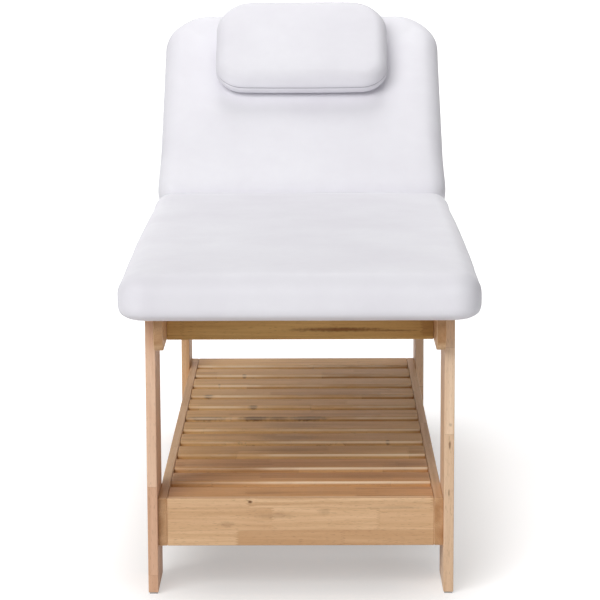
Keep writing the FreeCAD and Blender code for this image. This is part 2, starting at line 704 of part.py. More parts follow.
def make_seat():
    """Fixed seat: plywood board, hinge batten and upholstered pad."""
    low_y = "foot_y + board_inset"
    board_end = "hinge_y - batten_gap"
    plank = block("seat_board_blank", "0 - board_half", low_y, "base_height",
                  "2 * board_half", f"{board_end} - ({low_y})", "board_thickness")
    tools = []
    for side in SIDES:
        for number, share in enumerate(BOARD_SCREW_SHARES, start=1):
            tools.append(rod(f"seat_board_{side}_hole_{number}", "z",
                             "screw_radius + running_clearance",
                             "screw_bite + running_clearance + cut_overrun",
                             low_x(side, "board_screw_x", "0"), board_screw_y(share),
                             "base_height - cut_overrun"))
    part("seat_board", cut("seat_board", plank, tools))
    make_batten("seat",
                board("seat_batten_plank", "0 - board_half",
                      "hinge_y - batten_gap - batten_thickness",
                      "base_height + board_thickness", "2 * board_half", "batten_thickness",
                      "batten_height"),
                HINGE_LINE, "0 - batten_gap - screw_bite - running_clearance")
    length = size("seat_length - hinge_gap")
    pad = cushion(size("pad_width"), length, size("pad_thickness"), size("pad_crown"),
                  size("seat_side_bow"), size("pad_top_round"), size("pad_bottom_round"),
                  size("pad_top_round + foot_corner_extra"),
                  size("pad_top_round + hinge_corner_extra"))
    recess = pad_recess(size("board_inset"), length, -1, size("hinge_rise"))
    part("seat_pad", feature("seat_pad", pad.cut(recess), FLOOR, "foot_y", "base_height"))


def make_backrest():
    """Tilting backrest: board, hinge batten and pad, in the frame of the hinge axis."""
    low_y = "batten_gap"
    board_length = "backrest_length - board_inset - batten_gap"
    plank = doc.addObject("PartDesign::Body", "backrest_board_plank")
    blank = plank.newObject("PartDesign::AdditiveBox", "backrest_board_blank")
    bind(blank, Length="2 * board_half", Width=board_length, Height="board_thickness")
    doc.recompute()
    rounded = plank.newObject("PartDesign::Fillet", "backrest_board_rounded")
    rounded.Base = (blank, [f"Edge{number}" for number, edge
                            in upright_edges(blank.Shape, size(board_length))])
    bind(rounded, Radius="board_corner_round")
    plank.Tip = rounded
    BACKREST.put(plank, "0 - board_half", low_y, "back_under")
    holes = []
    screws = []
    for x, y in bracket_screw_places():
        holes.append(rod(f"bracket_pilot_{len(holes)}", "z",
                         "screw_radius + running_clearance",
                         "screw_bite + running_clearance + cut_overrun", x, y,
                         "back_under - cut_overrun"))
        screws.append(wood_screw(f"bracket_screw_{len(screws)}", x, y,
                                 "back_under - bracket_thickness",
                                 "bracket_thickness + screw_bite"))
    part("backrest_board",
         cut("backrest_board", plank, [BACKREST.put(group("bracket_pilots", holes))]))
    part("bracket_screws", BACKREST.put(group("bracket_screws", screws)))
    make_batten("backrest",
                board("backrest_batten_plank", "0 - board_half", low_y,
                      "back_under + board_thickness", "2 * board_half", "batten_thickness",
                      "batten_height - rest_gap", BACKREST),
                BACKREST, "batten_gap - cut_overrun")
    length = size("backrest_length - hinge_gap")
    pad = cushion(size("pad_width"), length, size("pad_thickness - rest_gap"),
                  size("pad_crown"), 0, size("pad_top_round"),
                  size("pad_bottom_round"), size("pad_top_round + hinge_corner_extra"),
                  size("pad_top_round + head_corner_extra"))
    recess = pad_recess(length - size("board_inset"), 0, 1, size("hinge_rise - rest_gap"),
                        size("board_corner_round"))
    part("backrest_pad",
         feature("backrest_pad", pad.cut(recess), BACKREST, "hinge_gap", "back_under"))


KNUCKLE_LENGTH = f"hinge_width / {KNUCKLE_COUNT}"


def hinge_leaf(name, middle, sign):
    """One leaf with its knuckles, in the frame of the hinge axis. Sign -1 is the seat's."""
    face = "0 - batten_gap" if sign < 0 else "batten_gap - leaf_thickness"
    root = "0 - batten_gap" if sign < 0 else "0"
    web = "barrel_radius - hinge_pin_radius - 4 * running_clearance"
    top = f"{web} - barrel_radius"
    height = f"hinge_rise - leaf_foot_gap + ({top})"
    pieces = [block(name + "_plate", f"{middle} - hinge_width / 2", face,
                    f"{top} - ({height})", "hinge_width", "leaf_thickness", height)]
    first = 0 if sign < 0 else 1
    for number in range(first, KNUCKLE_COUNT, 2):
        start = f"{middle} - hinge_width / 2 + {number} * {KNUCKLE_LENGTH} + knuckle_gap / 2"
        length = f"{KNUCKLE_LENGTH} - knuckle_gap"
        pieces.append(rod(f"{name}_barrel_{number}", "x", "barrel_radius", length, start,
                          "0", "0"))
        pieces.append(block(f"{name}_root_{number}", start, root, "0 - barrel_radius", length,
                            "batten_gap", web))
    bore = rod(name + "_bore", "x", "hinge_pin_radius + running_clearance",
               "hinge_width + 2 * cut_overrun", f"{middle} - hinge_width / 2 - cut_overrun",
               "0", "0")
    holes = [bore]
    for x, z in leaf_screw_places(middle):
        holes.append(rod(f"{name}_hole_{len(holes)}", "y", "screw_radius + running_clearance",
                         "leaf_thickness + 2 * cut_overrun", x, f"{face} - cut_overrun", z))
    return cut(name, fuse(name + "_solid", pieces), holes)


def leaf_screw(name, x, z, sign):
    """Screw through a leaf into its batten; the head lies against the leaf."""
    head_x = "leaf_thickness - batten_gap"
    if sign < 0:
        head_start = head_x
        shank_start = f"{head_x} - leaf_thickness - screw_bite"
    else:
        head_start = f"0 - ({head_x}) - screw_head_length"
        shank_start = f"0 - ({head_x})"
    return fuse(name, [
        rod(name + "_shank", "y", "screw_radius", "leaf_thickness + screw_bite", x,
            shank_start, z),
        rod(name + "_head", "y", "screw_head_radius", "screw_head_length", x, head_start, z)])


def make_hinges():
    """Three butt hinges on the battens, with one leaf on the seat and one on the backrest."""
    leaves = {-1: [], 1: []}
    screws = {-1: [], 1: []}
    pins = []
    for number, middle in enumerate(HINGE_MIDDLES, start=1):
        for sign, owner in ((-1, "seat"), (1, "backrest")):
            leaves[sign].append(hinge_leaf(f"{owner}_leaf_{number}", middle, sign))
            for screw_number, (x, z) in enumerate(leaf_screw_places(middle), start=1):
                screws[sign].append(leaf_screw(f"{owner}_leaf_{number}_screw_{screw_number}",
                                               x, z, sign))
        name = f"hinge_pin_{number}"
        pins.append(fuse(name, [
            rod(name + "_shaft", "x", "hinge_pin_radius",
                "hinge_width + 2 * pin_head_length",
                f"{middle} - hinge_width / 2 - pin_head_length", "0", "0"),
            rod(name + "_left_head", "x", "barrel_radius", "pin_head_length",
                f"{middle} - hinge_width / 2 - pin_head_length", "0", "0"),
            rod(name + "_right_head", "x", "barrel_radius", "pin_head_length",
                f"{middle} + hinge_width / 2", "0", "0")]))
    part("seat_hinge_leaves", HINGE_LINE.put(group("seat_hinge_leaves", leaves[-1])))
    part("seat_hinge_screws", HINGE_LINE.put(group("seat_hinge_screws", screws[-1])))
    part("hinge_pins", HINGE_LINE.put(group("hinge_pins", pins)))
    part("backrest_hinge_leaves", BACKREST.put(group("backrest_hinge_leaves", leaves[1])))
    part("backrest_hinge_screws", BACKREST.put(group("backrest_hinge_screws", screws[1])))


def bracket_screw_places():
    """Where the screws of both stay brackets sit, across the bed and along the backrest."""
    places = []
    for side in SIDES:
        across = low_x(side, f"flange_inner_x + bracket_flange_width * {FLANGE_SCREW_SHARE}",
                       "0")
        for sign in ("-", "+"):
            places.append((across, "pivot_along"
                           f" {sign} (bracket_flange_length / 2 - screw_margin / 2)"))
    return places


def make_stay(side):
    """Slotted stay, its bracket under the backrest, its pivot, and the stud and knob."""
    ear = block(f"{side}_ear", low_x(side, "ear_inner_x", "bracket_thickness"),
                "pivot_along - bracket_width / 2", "0 - pivot_drop", "bracket_thickness",
                "bracket_width", "back_under + pivot_drop")
    ear_end = rod(f"{side}_ear_end", "x", "bracket_width / 2", "bracket_thickness",
                  low_x(side, "ear_inner_x", "bracket_thickness"), "pivot_along",
                  "0 - pivot_drop")
    flange = block(f"{side}_flange",
                   low_x(side, "flange_inner_x", "ear_outer_x - flange_inner_x"),
                   "pivot_along - bracket_flange_length / 2",
                   "back_under - bracket_thickness", "ear_outer_x - flange_inner_x",
                   "bracket_flange_length", "bracket_thickness")
    holes = [rod(f"{side}_ear_hole", "x", "pivot_radius + running_clearance",
                 "bracket_thickness + 2 * cut_overrun",
                 low_x(side, "ear_inner_x - cut_overrun",
                       "bracket_thickness + 2 * cut_overrun"),
                 "pivot_along", "0 - pivot_drop")]
    for x, y in bracket_screw_places():
        holes.append(rod(f"{side}_flange_hole_{len(holes)}", "z",
                         "screw_radius + running_clearance",
                         "bracket_thickness + 2 * cut_overrun", x, y,
                         "back_under - bracket_thickness - cut_overrun"))
    name = f"{side}_stay_bracket"
    bracket = cut(name, fuse(name + "_solid", [ear, ear_end, flange]), holes)
    part(name, BACKREST.put(bracket))

    low = "stay_inner_x - stay_side_clearance - pivot_head_length"
    length = "pivot_head_length + stay_thickness + bracket_thickness" \
             " + 2 * stay_side_clearance + pivot_tail_length"
    name = f"{side}_stay_pivot"
    pin = fuse(name, [
        rod(name + "_shaft", "x", "pivot_radius", length, low_x(side, low, length), "0", "0"),
        rod(name + "_head", "x", "pivot_head_radius", "pivot_head_length",
            low_x(side, low, "pivot_head_length"), "0", "0"),
        rod(name + "_tail", "x", "pivot_head_radius - pivot_tail_length", "pivot_tail_length",
            low_x(side, "ear_outer_x", "pivot_tail_length"), "0", "0")])
    part(name, STAY.put(pin))

    plate_x = low_x(side, "stay_inner_x", "stay_thickness")
    end_y = "slot_end + stay_tail"
    name = f"{side}_stay"
    plate = fuse(name + "_plate", [
        block(name + "_middle", plate_x, "0", "0 - stay_width / 2", "stay_thickness", end_y,
              "stay_width"),
        rod(name + "_upper_end", "x", "stay_width / 2", "stay_thickness", plate_x, "0", "0"),
        rod(name + "_lower_end", "x", "stay_width / 2", "stay_thickness", plate_x, end_y, "0")])
    deep_x = low_x(side, "stay_inner_x - cut_overrun", "stay_thickness + 2 * cut_overrun")
    deep = "stay_thickness + 2 * cut_overrun"
    stay = cut(name, plate, [
        rod(name + "_pivot_hole", "x", "pivot_radius + running_clearance", deep, deep_x, "0",
            "0"),
        block(name + "_slot", deep_x, "slot_start", "0 - slot_radius", deep,
              "slot_end - slot_start", "2 * slot_radius"),
        rod(name + "_slot_top", "x", "slot_radius", deep, deep_x, "slot_start", "0"),
        rod(name + "_slot_foot", "x", "slot_radius", deep, deep_x, "slot_end", "0")])
    part(name, STAY.put(stay))


def make_stud_and_knob(side):
    """Stud through leg and rail, the spacer on it, and the clamp knob at its inner end."""
    stud_length = "base_width / 2 - bolt_head_length - knob_inner_x"
    name = f"{side}_stay_stud"
    stud = fuse(name, [
        rod(name + "_shaft", "x", "stud_radius", stud_length,
            low_x(side, "knob_inner_x", stud_length), "stud_y", "stud_z"),
        rod(name + "_head", "x", "stud_head_radius", "bolt_head_length",
            low_x(side, "base_width / 2 - bolt_head_length", "bolt_head_length"),
            "stud_y", "stud_z")])
    part(name, stud)
    bore_low = low_x(side, "knob_inner_x - cut_overrun",
                     "rail_inner_x - knob_inner_x + 2 * cut_overrun")
    bore_length = "rail_inner_x - knob_inner_x + 2 * cut_overrun"
    name = f"{side}_stay_spacer"
    sleeve_length = "rail_inner_x - stay_outer_x - stay_side_clearance"
    sleeve = rod(name + "_sleeve", "x", "spacer_radius", sleeve_length,
                 low_x(side, "stay_outer_x + stay_side_clearance", sleeve_length), "stud_y",
                 "stud_z")
    part(name, cut(name, sleeve, [rod(name + "_bore", "x", "stud_radius + running_clearance",
                                      bore_length, bore_low, "stud_y", "stud_z")]))
    name = f"{side}_clamp_knob"
    grip_low = low_x(side, "knob_inner_x", "knob_length")
    pieces = [
        rod(name + "_core", "x", "knob_radius", "knob_length", grip_low, "stud_y", "stud_z"),
        rod(name + "_neck", "x", "knob_neck_radius", "knob_neck_length",
            low_x(side, "knob_outer_x - knob_neck_length", "knob_neck_length"), "stud_y",
            "stud_z")]
    for number in range(KNOB_LOBE_COUNT):
        turn = 360 * number / KNOB_LOBE_COUNT
        pieces.append(rod(f"{name}_lobe_{number + 1}", "x", "knob_lobe_radius", "knob_length",
                          grip_low, f"stud_y + knob_radius * cos({turn})",
                          f"stud_z + knob_radius * sin({turn})"))
    bore = rod(name + "_bore", "x", "stud_radius + running_clearance", bore_length, bore_low,
               "stud_y", "stud_z")
    part(name, cut(name, fuse(name + "_solid", pieces), [bore]))


def make_pillow():
    """Head pillow on two grip tapes, in the frame of the hinge axis."""
    top_round = size("pillow_thickness") * PILLOW_TOP_ROUND_SHARE
    shape = cushion(size("pillow_width"), size("pillow_length"), size("pillow_thickness"),
                    size("pillow_crown"), size("pillow_side_bow"), top_round,
                    size("pillow_thickness") * PILLOW_BOTTOM_ROUND_SHARE,
                    top_round + size("pillow_low_corner_extra"),
                    top_round + size("pillow_high_corner_extra"))
    part("head_pillow",
         feature("head_pillow", shape, BACKREST, "pillow_start", "pillow_under"))
    tapes = []
    for side in SIDES:
        tapes.append(block(f"{side}_grip_tape",
                           low_x(side, "tape_spacing / 2 - tape_width / 2", "tape_width"),
                           "pillow_start + tape_margin", "tape_under", "tape_width",
                           "pillow_length - 2 * tape_margin", "tape_thickness"))
    part("pillow_grip_tapes", BACKREST.put(group("pillow_grip_tapes", tapes)))


make_legs()
make_glides()
make_top_rails()
make_top_cross_rails()
make_top_cleats()
make_shelf_frame()
make_slats()
make_bolts()
make_seat()
make_backrest()
make_hinges()
for stay_side in SIDES:
    make_stay(stay_side)
    make_stud_and_knob(stay_side)
make_pillow()
doc.recompute()

for obj in doc.Objects:
    if "Invalid" in obj.State or "Error" in obj.State:
        raise RuntimeError(f"{obj.Name} failed: {obj.State}")
for obj in PARTS:
    if obj.Shape.isNull() or not obj.Shape.isValid():
        raise RuntimeError(f"{obj.Label} has no valid shape")
    if not obj.Shape.Solids:
        raise RuntimeError(f"{obj.Label} has no solid")

os.makedirs("parts", exist_ok=True)
for obj in PARTS:
    obj.Shape.exportStep(os.path.join("parts", obj.Label + ".step"))
print(len(PARTS), "sub-parts written")
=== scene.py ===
import json
import math
from dataclasses import dataclass

import bpy
import numpy as np
from mathutils import Matrix, Vector, noise


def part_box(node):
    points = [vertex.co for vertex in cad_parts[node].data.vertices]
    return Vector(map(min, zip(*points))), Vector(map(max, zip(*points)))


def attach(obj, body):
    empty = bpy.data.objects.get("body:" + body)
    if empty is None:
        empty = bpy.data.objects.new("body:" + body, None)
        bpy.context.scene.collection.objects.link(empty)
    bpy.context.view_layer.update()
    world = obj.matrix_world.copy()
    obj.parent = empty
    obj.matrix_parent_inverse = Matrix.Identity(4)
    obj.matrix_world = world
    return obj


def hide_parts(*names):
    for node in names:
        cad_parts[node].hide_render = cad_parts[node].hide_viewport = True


# Treatment bed on an open slatted wooden base. Lengths are metres, in the frame of the packed
# part: X across the bed, Y from the foot end to the head end, Z up from the floor.
MM = 0.001

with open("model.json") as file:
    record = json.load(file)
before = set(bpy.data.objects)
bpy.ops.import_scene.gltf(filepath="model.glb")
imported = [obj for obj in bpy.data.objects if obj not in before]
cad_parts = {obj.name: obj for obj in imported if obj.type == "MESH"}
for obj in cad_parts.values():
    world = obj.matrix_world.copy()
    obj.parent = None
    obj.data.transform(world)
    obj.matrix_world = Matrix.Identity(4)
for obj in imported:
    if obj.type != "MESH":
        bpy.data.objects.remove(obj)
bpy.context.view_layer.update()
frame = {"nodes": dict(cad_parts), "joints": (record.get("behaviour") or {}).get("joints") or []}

# The hinge line and the tilt of the backrest at rest, as the joints give them.
joints = {joint["name"]: joint for joint in frame["joints"]}
HINGE = Vector(joints["backrest_tilt"]["pos_m"])
SLIDE = joints["pillow_slide"]["axis"]
TILT = math.atan2(SLIDE[2], SLIDE[1])
BACKREST = Matrix.Translation(HINGE) @ Matrix.Rotation(TILT, 4, "X")


def local_box(node, matrix):
    """Lowest and highest corner of a node, measured in the frame that matrix gives."""
    inverse = np.array(matrix.inverted())
    points = np.array([v.co[:] for v in frame["nodes"][node].data.vertices])
    local = points @ inverse[:3, :3].T + inverse[:3, 3]
    return Vector(local.min(0)), Vector(local.max(0))


# Shader building. Noise scales are per metre.

class Graph:
    """Short way to write a node tree: each call makes a node and gives its output."""

    def __init__(self, tree):
        self.tree = tree
        tree.nodes.clear()

    def add(self, kind, inputs=None, output=0, **settings):
        node = self.tree.nodes.new(kind)
        for name, value in settings.items():
            setattr(node, name, value)
        for key, value in (inputs or {}).items():
            if isinstance(value, bpy.types.NodeSocket):
                self.tree.links.new(value, node.inputs[key])
            else:
                node.inputs[key].default_value = value
        return node if output is None else node.outputs[output]

    def math(self, operation, a, b=0.0):
        return self.add("ShaderNodeMath", {0: a, 1: b}, operation=operation)

    def times(self, a, b):
        return self.math("MULTIPLY", a, b)

    def plus(self, a, b):
        return self.math("ADD", a, b)

    def vector_math(self, operation, a, b=(0, 0, 0)):
        output = 1 if operation == "LENGTH" else 0
        return self.add("ShaderNodeVectorMath", {0: a, 1: b}, output, operation=operation)

    def mix(self, factor, a, b):
        return self.add("ShaderNodeMix", {0: factor, 6: a, 7: b}, 2, data_type="RGBA")

    def remap(self, value, low, high, new_low=0.0, new_high=1.0, smooth=False):
        kind = "SMOOTHSTEP" if smooth else "LINEAR"
        return self.add("ShaderNodeMapRange", {0: value, 1: low, 2: high, 3: new_low,
                                               4: new_high}, interpolation_type=kind)

    def noise(self, vector, scale, detail=3.0, rough=0.5):
        return self.add("ShaderNodeTexNoise", {"Vector": vector, "Scale": scale,
                                               "Detail": detail, "Roughness": rough})

    def long_noise(self, vector, scales, detail, rough=0.5):
        """Noise with a scale of its own along each axis."""
        return self.noise(self.vector_math("MULTIPLY", vector, scales), 1.0, detail, rough)

    def random(self, vector, output=0):
        return self.add("ShaderNodeTexWhiteNoise", {"Vector": vector}, output)

    def cells(self, vector, scale, feature="F1"):
        return self.add("ShaderNodeTexVoronoi", {"Vector": vector, "Scale": scale},
                        feature=feature)

    def split(self, vector):
        return self.add("ShaderNodeSeparateXYZ", {0: vector}, None).outputs

    def join(self, x, y, z):
        return self.add("ShaderNodeCombineXYZ", {0: x, 1: y, 2: z})

    def bump(self, height, distance, strength, normal=None):
        inputs = {"Height": height, "Distance": distance, "Strength": strength}
        if normal is not None:
            inputs["Normal"] = normal
        return self.add("ShaderNodeBump", inputs)

    def place(self, name="Object"):
        return self.add("ShaderNodeTexCoord", output=name)

    def seen(self):
        """One for rays that look at a surface or mirror it, zero for those that light it."""
        ray = self.add("ShaderNodeLightPath", output=None).outputs
        mirrored = self.math("MAXIMUM", ray["Is Glossy Ray"], ray["Is Transmission Ray"])
        return self.math("MAXIMUM", ray["Is Camera Ray"], mirrored)


def rgb(red, green, blue):
    """Linear colour with alpha, from the 0 to 255 values of a picture."""
    def linear(value):
        value /= 255
        return value / 12.92 if value <= 0.04045 else ((value + 0.055) / 1.055) ** 2.4
    return (linear(red), linear(green), linear(blue), 1.0)


def finish_material(graph, color, roughness, normal, **constants):
    """Principled surface with the material's output; the constants are its own sockets."""
    surface = graph.add("ShaderNodeBsdfPrincipled", {"Base Color": color, "Roughness": roughness,
                                                     "Normal": normal}, None)
    for name, value in constants.items():
        surface.inputs[name.replace("_", " ")].default_value = value
    graph.add("ShaderNodeOutputMaterial", {0: surface.outputs[0]}, None)


def new_material(name):
    material = bpy.data.materials.new(name)
    material.use_nodes = True
    return material, Graph(material.node_tree)


def dress(node, material):
    """Gives a carried-over CAD node its material."""
    mesh = frame["nodes"][node].data
    mesh.materials.clear()
    mesh.materials.append(material)
    for polygon in mesh.polygons:
        polygon.material_index = 0


# Materials

def turned(g, socket, matrix, move=True):
    """A place or a direction, measured in the frame that matrix gives."""
    inverse = matrix.inverted()
    inputs = {"Vector": socket, "Rotation": inverse.to_euler()}
    if move:
        inputs["Location"] = inverse.to_translation()
    return g.add("ShaderNodeMapping", inputs)


def vinyl(name, light, shade, seam=None):
    """Soft coated upholstery cloth: pebbled grain, faint clouding and slight soiling.

    Seam is the frame, height and half width of a sewn line that is darkened with painted shade.
    """
    material, g = new_material(name)
    place = g.place()
    cloud = g.noise(place, 5.0, 4.0, 0.55)
    blotch = g.noise(place, 38.0, 3.0, 0.6)
    pebble = g.cells(place, 820.0, "SMOOTH_F1")
    pores = g.noise(place, 2600.0, 2.0, 0.6)
    tone = g.mix(g.remap(cloud, 0.35, 0.68), light, shade)
    tone = g.mix(g.remap(blotch, 0.3, 0.75, 0.0, 0.3), tone, shade)
    tone = g.mix(g.remap(pebble, 0.2, 0.9, 0.0, 0.10), tone, shade)
    if seam is not None:
        matrix, height, half_width = seam
        level = g.split(turned(g, place, matrix))[2]
        away = g.math("ABSOLUTE", g.math("SUBTRACT", level, height))
        # Painted shade: the cloth is darkened along the seam.
        line = g.remap(away, 0.2 * half_width, half_width, 0.8, 0.0, True)
        tone = g.mix(line, tone, rgb(150, 146, 156))
    grain = g.plus(g.times(pebble, 0.8), g.times(pores, 0.25))
    broad = g.bump(g.noise(place, 14.0, 2.0, 0.4), 1.2 * MM, 0.3)
    rough = g.remap(g.noise(place, 60.0), 0.3, 0.7, 0.42, 0.54)
    finish_material(g, tone, rough, g.bump(grain, 0.12 * MM, 0.5, broad),
                    Specular_IOR_Level=0.2)
    return material


# Solid wood: the length of its blocks, the half width and slope of the fingers that join
# them, how much the blocks differ in tone, and the widths of its glued strips.
BLOCK_LENGTH = 260 * MM
FINGER_HALF = 2.5 * MM
FINGER_SLOPE = 3.2
VARIETY = 0.7
BOARD_STRIP = 45 * MM
RAIL_STRIP = 33 * MM
SLAT_STRIP = 38 * MM
STRIP_GLUE = 0.5 * MM
BLOCK_GLUE = 0.8 * MM
TONE_NAMES = ("Pale", "Warm", "Brown", "Dark")


def lumber_group():
    """Finger-jointed solid wood. The vector runs along, across and through the boards."""
    tree = bpy.data.node_groups.new("lumber", "ShaderNodeTree")
    for way, kind, names in (("INPUT", "Vector", ["Place"]),
                             ("INPUT", "Float", ["Seed", "Strip", "End Grain"]),
                             ("INPUT", "Color", TONE_NAMES),
                             ("OUTPUT", "Color", ["Color"]),
                             ("OUTPUT", "Float", ["Rough", "Height"])):
        for name in names:
            tree.interface.new_socket(name, in_out=way, socket_type="NodeSocket" + kind)
    g = Graph(tree)
    source = g.add("NodeGroupInput", output=None).outputs
    place, seed, strip_width = source["Place"], source["Seed"], source["Strip"]
    pale, warm, brown, dark = (source[name] for name in TONE_NAMES)
    along, across, _ = g.split(place)

    # Strips glued side by side, each of blocks joined end to end with fingers.
    strip_place = g.plus(g.math("DIVIDE", across, strip_width), g.times(seed, 0.37))
    strip = g.math("FLOOR", strip_place)
    strip_random = g.random(g.join(strip, seed, 3.0))
    finger = g.math("PINGPONG", across, FINGER_HALF)
    notched = g.plus(along, g.times(finger, FINGER_SLOPE))
    block_place = g.plus(g.math("DIVIDE", notched, BLOCK_LENGTH), g.times(strip_random, 7.3))
    sway = g.times(g.math("SINE", g.times(block_place, 2.6)), 0.22)
    block_place = g.plus(block_place, sway)
    block = g.math("FLOOR", block_place)
    tone_random = g.random(g.join(block, strip, seed))
    shift = g.random(g.join(strip, block, g.plus(seed, 11.0)), 1)

    # Growth rings seen lengthwise: bands that wander along the board.
    shifted = g.vector_math("ADD", place, g.vector_math("MULTIPLY", shift, (3.0, 0.4, 0.4)))
    _, long_y, long_z = g.split(shifted)
    wander = g.long_noise(shifted, (2.2, 9.0, 9.0), 2.0, 0.45)
    ring_y = g.plus(long_y, g.times(wander, 0.055))
    ring_square = g.plus(g.times(ring_y, ring_y), g.times(long_z, long_z))
    ring_wave = g.math("SINE", g.times(g.math("POWER", ring_square, 0.5), 820.0))
    rings = g.remap(ring_wave, -0.2, 1.0, 0.0, 1.0, True)
    fibre = g.long_noise(shifted, (7.0, 240.0, 240.0), 4.0, 0.65)
    streak = g.long_noise(shifted, (1.7, 46.0, 46.0), 3.0, 0.6)
    pores = g.remap(g.long_noise(shifted, (75.0, 900.0, 900.0), 1.0), 0.62, 0.72)

    color = g.mix(g.times(g.remap(tone_random, 0.1, 0.85), VARIETY), pale, warm)
    color = g.mix(g.times(g.remap(tone_random, 0.78, 1.0, 0.0, 0.6), VARIETY), color, brown)
    color = g.mix(g.times(rings, 0.34), color, warm)
    color = g.mix(g.remap(streak, 0.48, 0.74, 0.0, 0.62), color, brown)
    color = g.mix(g.remap(fibre, 0.42, 0.8, 0.0, 0.38), color, brown)
    color = g.mix(g.times(pores, 0.30), color, dark)
    figure = g.remap(g.noise(shifted, 4.0, 1.0), 0.58, 0.80, 0.0, 0.55)
    color = g.mix(g.times(figure, g.remap(streak, 0.40, 0.62)), color, brown)

    # Glue lines between strips and at the ends of blocks.
    def glue_line(cell_place, cell_length, width):
        edge = g.times(g.math("PINGPONG", cell_place, 0.5), cell_length)
        return g.remap(edge, 0.0, width, 1.0, 0.0)

    strip_line = glue_line(strip_place, strip_width, STRIP_GLUE)
    block_line = glue_line(block_place, BLOCK_LENGTH, BLOCK_GLUE)
    lines = g.math("MAXIMUM", strip_line, block_line)
    color = g.mix(g.times(lines, 0.30), color, dark)

    # Sawn ends: dense dots and soft patches, darker than the faces.
    dots = g.cells(place, 950.0)
    patch = g.noise(g.vector_math("ADD", place, g.join(seed, seed, seed)), 24.0, 2.0)
    end_color = g.mix(g.remap(patch, 0.38, 0.62, 0.1, 0.9), brown, warm)
    end_color = g.mix(g.remap(dots, 0.1, 0.8, 0.25, 0.0), end_color, dark)
    end_color = g.mix(g.times(rings, 0.05), end_color, dark)
    end_color = g.mix(g.times(strip_line, 0.12), end_color, dark)
    color = g.mix(source["End Grain"], color, end_color)

    height = g.math("SUBTRACT", g.times(fibre, 0.5), g.plus(g.times(pores, 0.5), lines))
    rough = g.remap(fibre, 0.3, 0.8, 0.42, 0.58)
    g.add("NodeGroupOutput", {"Color": color, "Rough": rough, "Height": height}, None)
    return tree


LUMBER = lumber_group()
# Tones of the wood: pale, warm, brown and dark.
BEECH = (rgb(230, 194, 154), rgb(216, 176, 136), rgb(184, 138, 96), rgb(100, 62, 38))
PINK_BEECH = (rgb(234, 198, 170), rgb(224, 182, 152), rgb(196, 148, 116), rgb(112, 72, 50))
GOLD_BEECH = (rgb(224, 180, 124), rgb(206, 160, 104), rgb(166, 118, 70), rgb(88, 52, 28))
BROWN_BEECH = (rgb(226, 182, 126), rgb(208, 162, 104), rgb(168, 118, 68), rgb(80, 48, 28))
RED_BEECH = (rgb(222, 172, 120), rgb(204, 152, 102), rgb(160, 108, 66), rgb(80, 44, 24))
OCHRE_BEECH = (rgb(222, 184, 122), rgb(204, 162, 102), rgb(166, 120, 68), rgb(104, 52, 26))
LIGHT_BEECH = (rgb(246, 218, 190), rgb(236, 204, 172), rgb(206, 168, 132), rgb(104, 68, 42))
# Painted light: the slats' front edges, which face the foot end, are painted paler near their
# tops.
SLAT_EDGE_PAINTED_LIGHT = rgb(255, 234, 204)
EDGE_SHINE = 3.5 * MM
EDGE_FADE = 7 * MM

BENDING_SHARE = 0.9


def wood(name, axes, tones, seed, strip=BOARD_STRIP, marks=(), matrix=None, front=None):
    """One board's material. Axes names the board's along, across and through directions.

    Marks are knots, heart streaks and soft dark patches, some of them painted shade: centre
    and half sizes, each along, across and through the board, and darkness. Front is the
    colour of painted light on the edge that faces the foot end, and the height of its top.
    """
    material, g = new_material(name)
    place = g.place()
    normal = g.place("Normal")
    if matrix is not None:
        place = turned(g, place, matrix)
        normal = turned(g, normal, matrix, False)
    order = ["xyz".index(axis) for axis in axes]
    parts = g.split(place)
    along, across, through = (parts[k] for k in order)
    end_grain = g.remap(g.math("ABSOLUTE", g.split(normal)[order[0]]), 0.75, 0.9)
    bend = 0.0
    dark = 0.0
    whole = g.join(along, across, through)
    ragged = g.times(g.math("SUBTRACT", g.noise(place, 160.0, 2.0), 0.5), 0.7)
    for centre, half_sizes, strength in marks:
        offset = g.vector_math("DIVIDE", g.vector_math("SUBTRACT", whole, centre), half_sizes)
        reach = g.plus(g.vector_math("LENGTH", offset), ragged)
        spot = g.times(g.remap(reach, 0.25, 1.1, 1.0, 0.0, True), strength)
        dark = g.math("MAXIMUM", dark, spot)
        side = g.times(g.split(offset)[1], half_sizes[1] * BENDING_SHARE * strength)
        bend = g.plus(bend, g.times(g.remap(reach, 0.0, 3.5, 1.0, 0.0, True), side))
    inputs = {"Place": g.join(along, g.math("SUBTRACT", across, bend), through),
              "Seed": float(seed), "Strip": strip, "End Grain": end_grain}
    inputs.update(zip(TONE_NAMES, tones))
    lumber = g.add("ShaderNodeGroup", inputs, None, node_tree=LUMBER).outputs
    color = g.mix(dark, lumber["Color"], tones[3])
    edge = g.add("ShaderNodeNewGeometry", output="Pointiness")
    color = g.mix(g.remap(edge, 0.52, 0.60, 0.0, 0.25), color, tones[0])
    # Painted light: the edge that faces the foot end is painted paler near its top, in patches.
    if front is not None:
        tone, top = front
        toward_foot = g.remap(g.split(normal)[1], -0.9, -0.5, 1.0, 0.0)
        near_top = g.remap(g.split(place)[2], top - EDGE_FADE, top - EDGE_SHINE, 0.0, 0.85)
        light_patches = g.remap(g.long_noise(place, (6.0, 1.0, 1.0), 2.0), 0.38, 0.58, 0.35, 1.0)
        color = g.mix(g.times(g.times(toward_foot, near_top), light_patches), color, tone)
    finish_material(g, color, lumber["Rough"], g.bump(lumber["Height"], 0.25 * MM, 0.5),
                    Specular_IOR_Level=0.07)
    return material


PLY_THICKNESS = 1.5 * MM


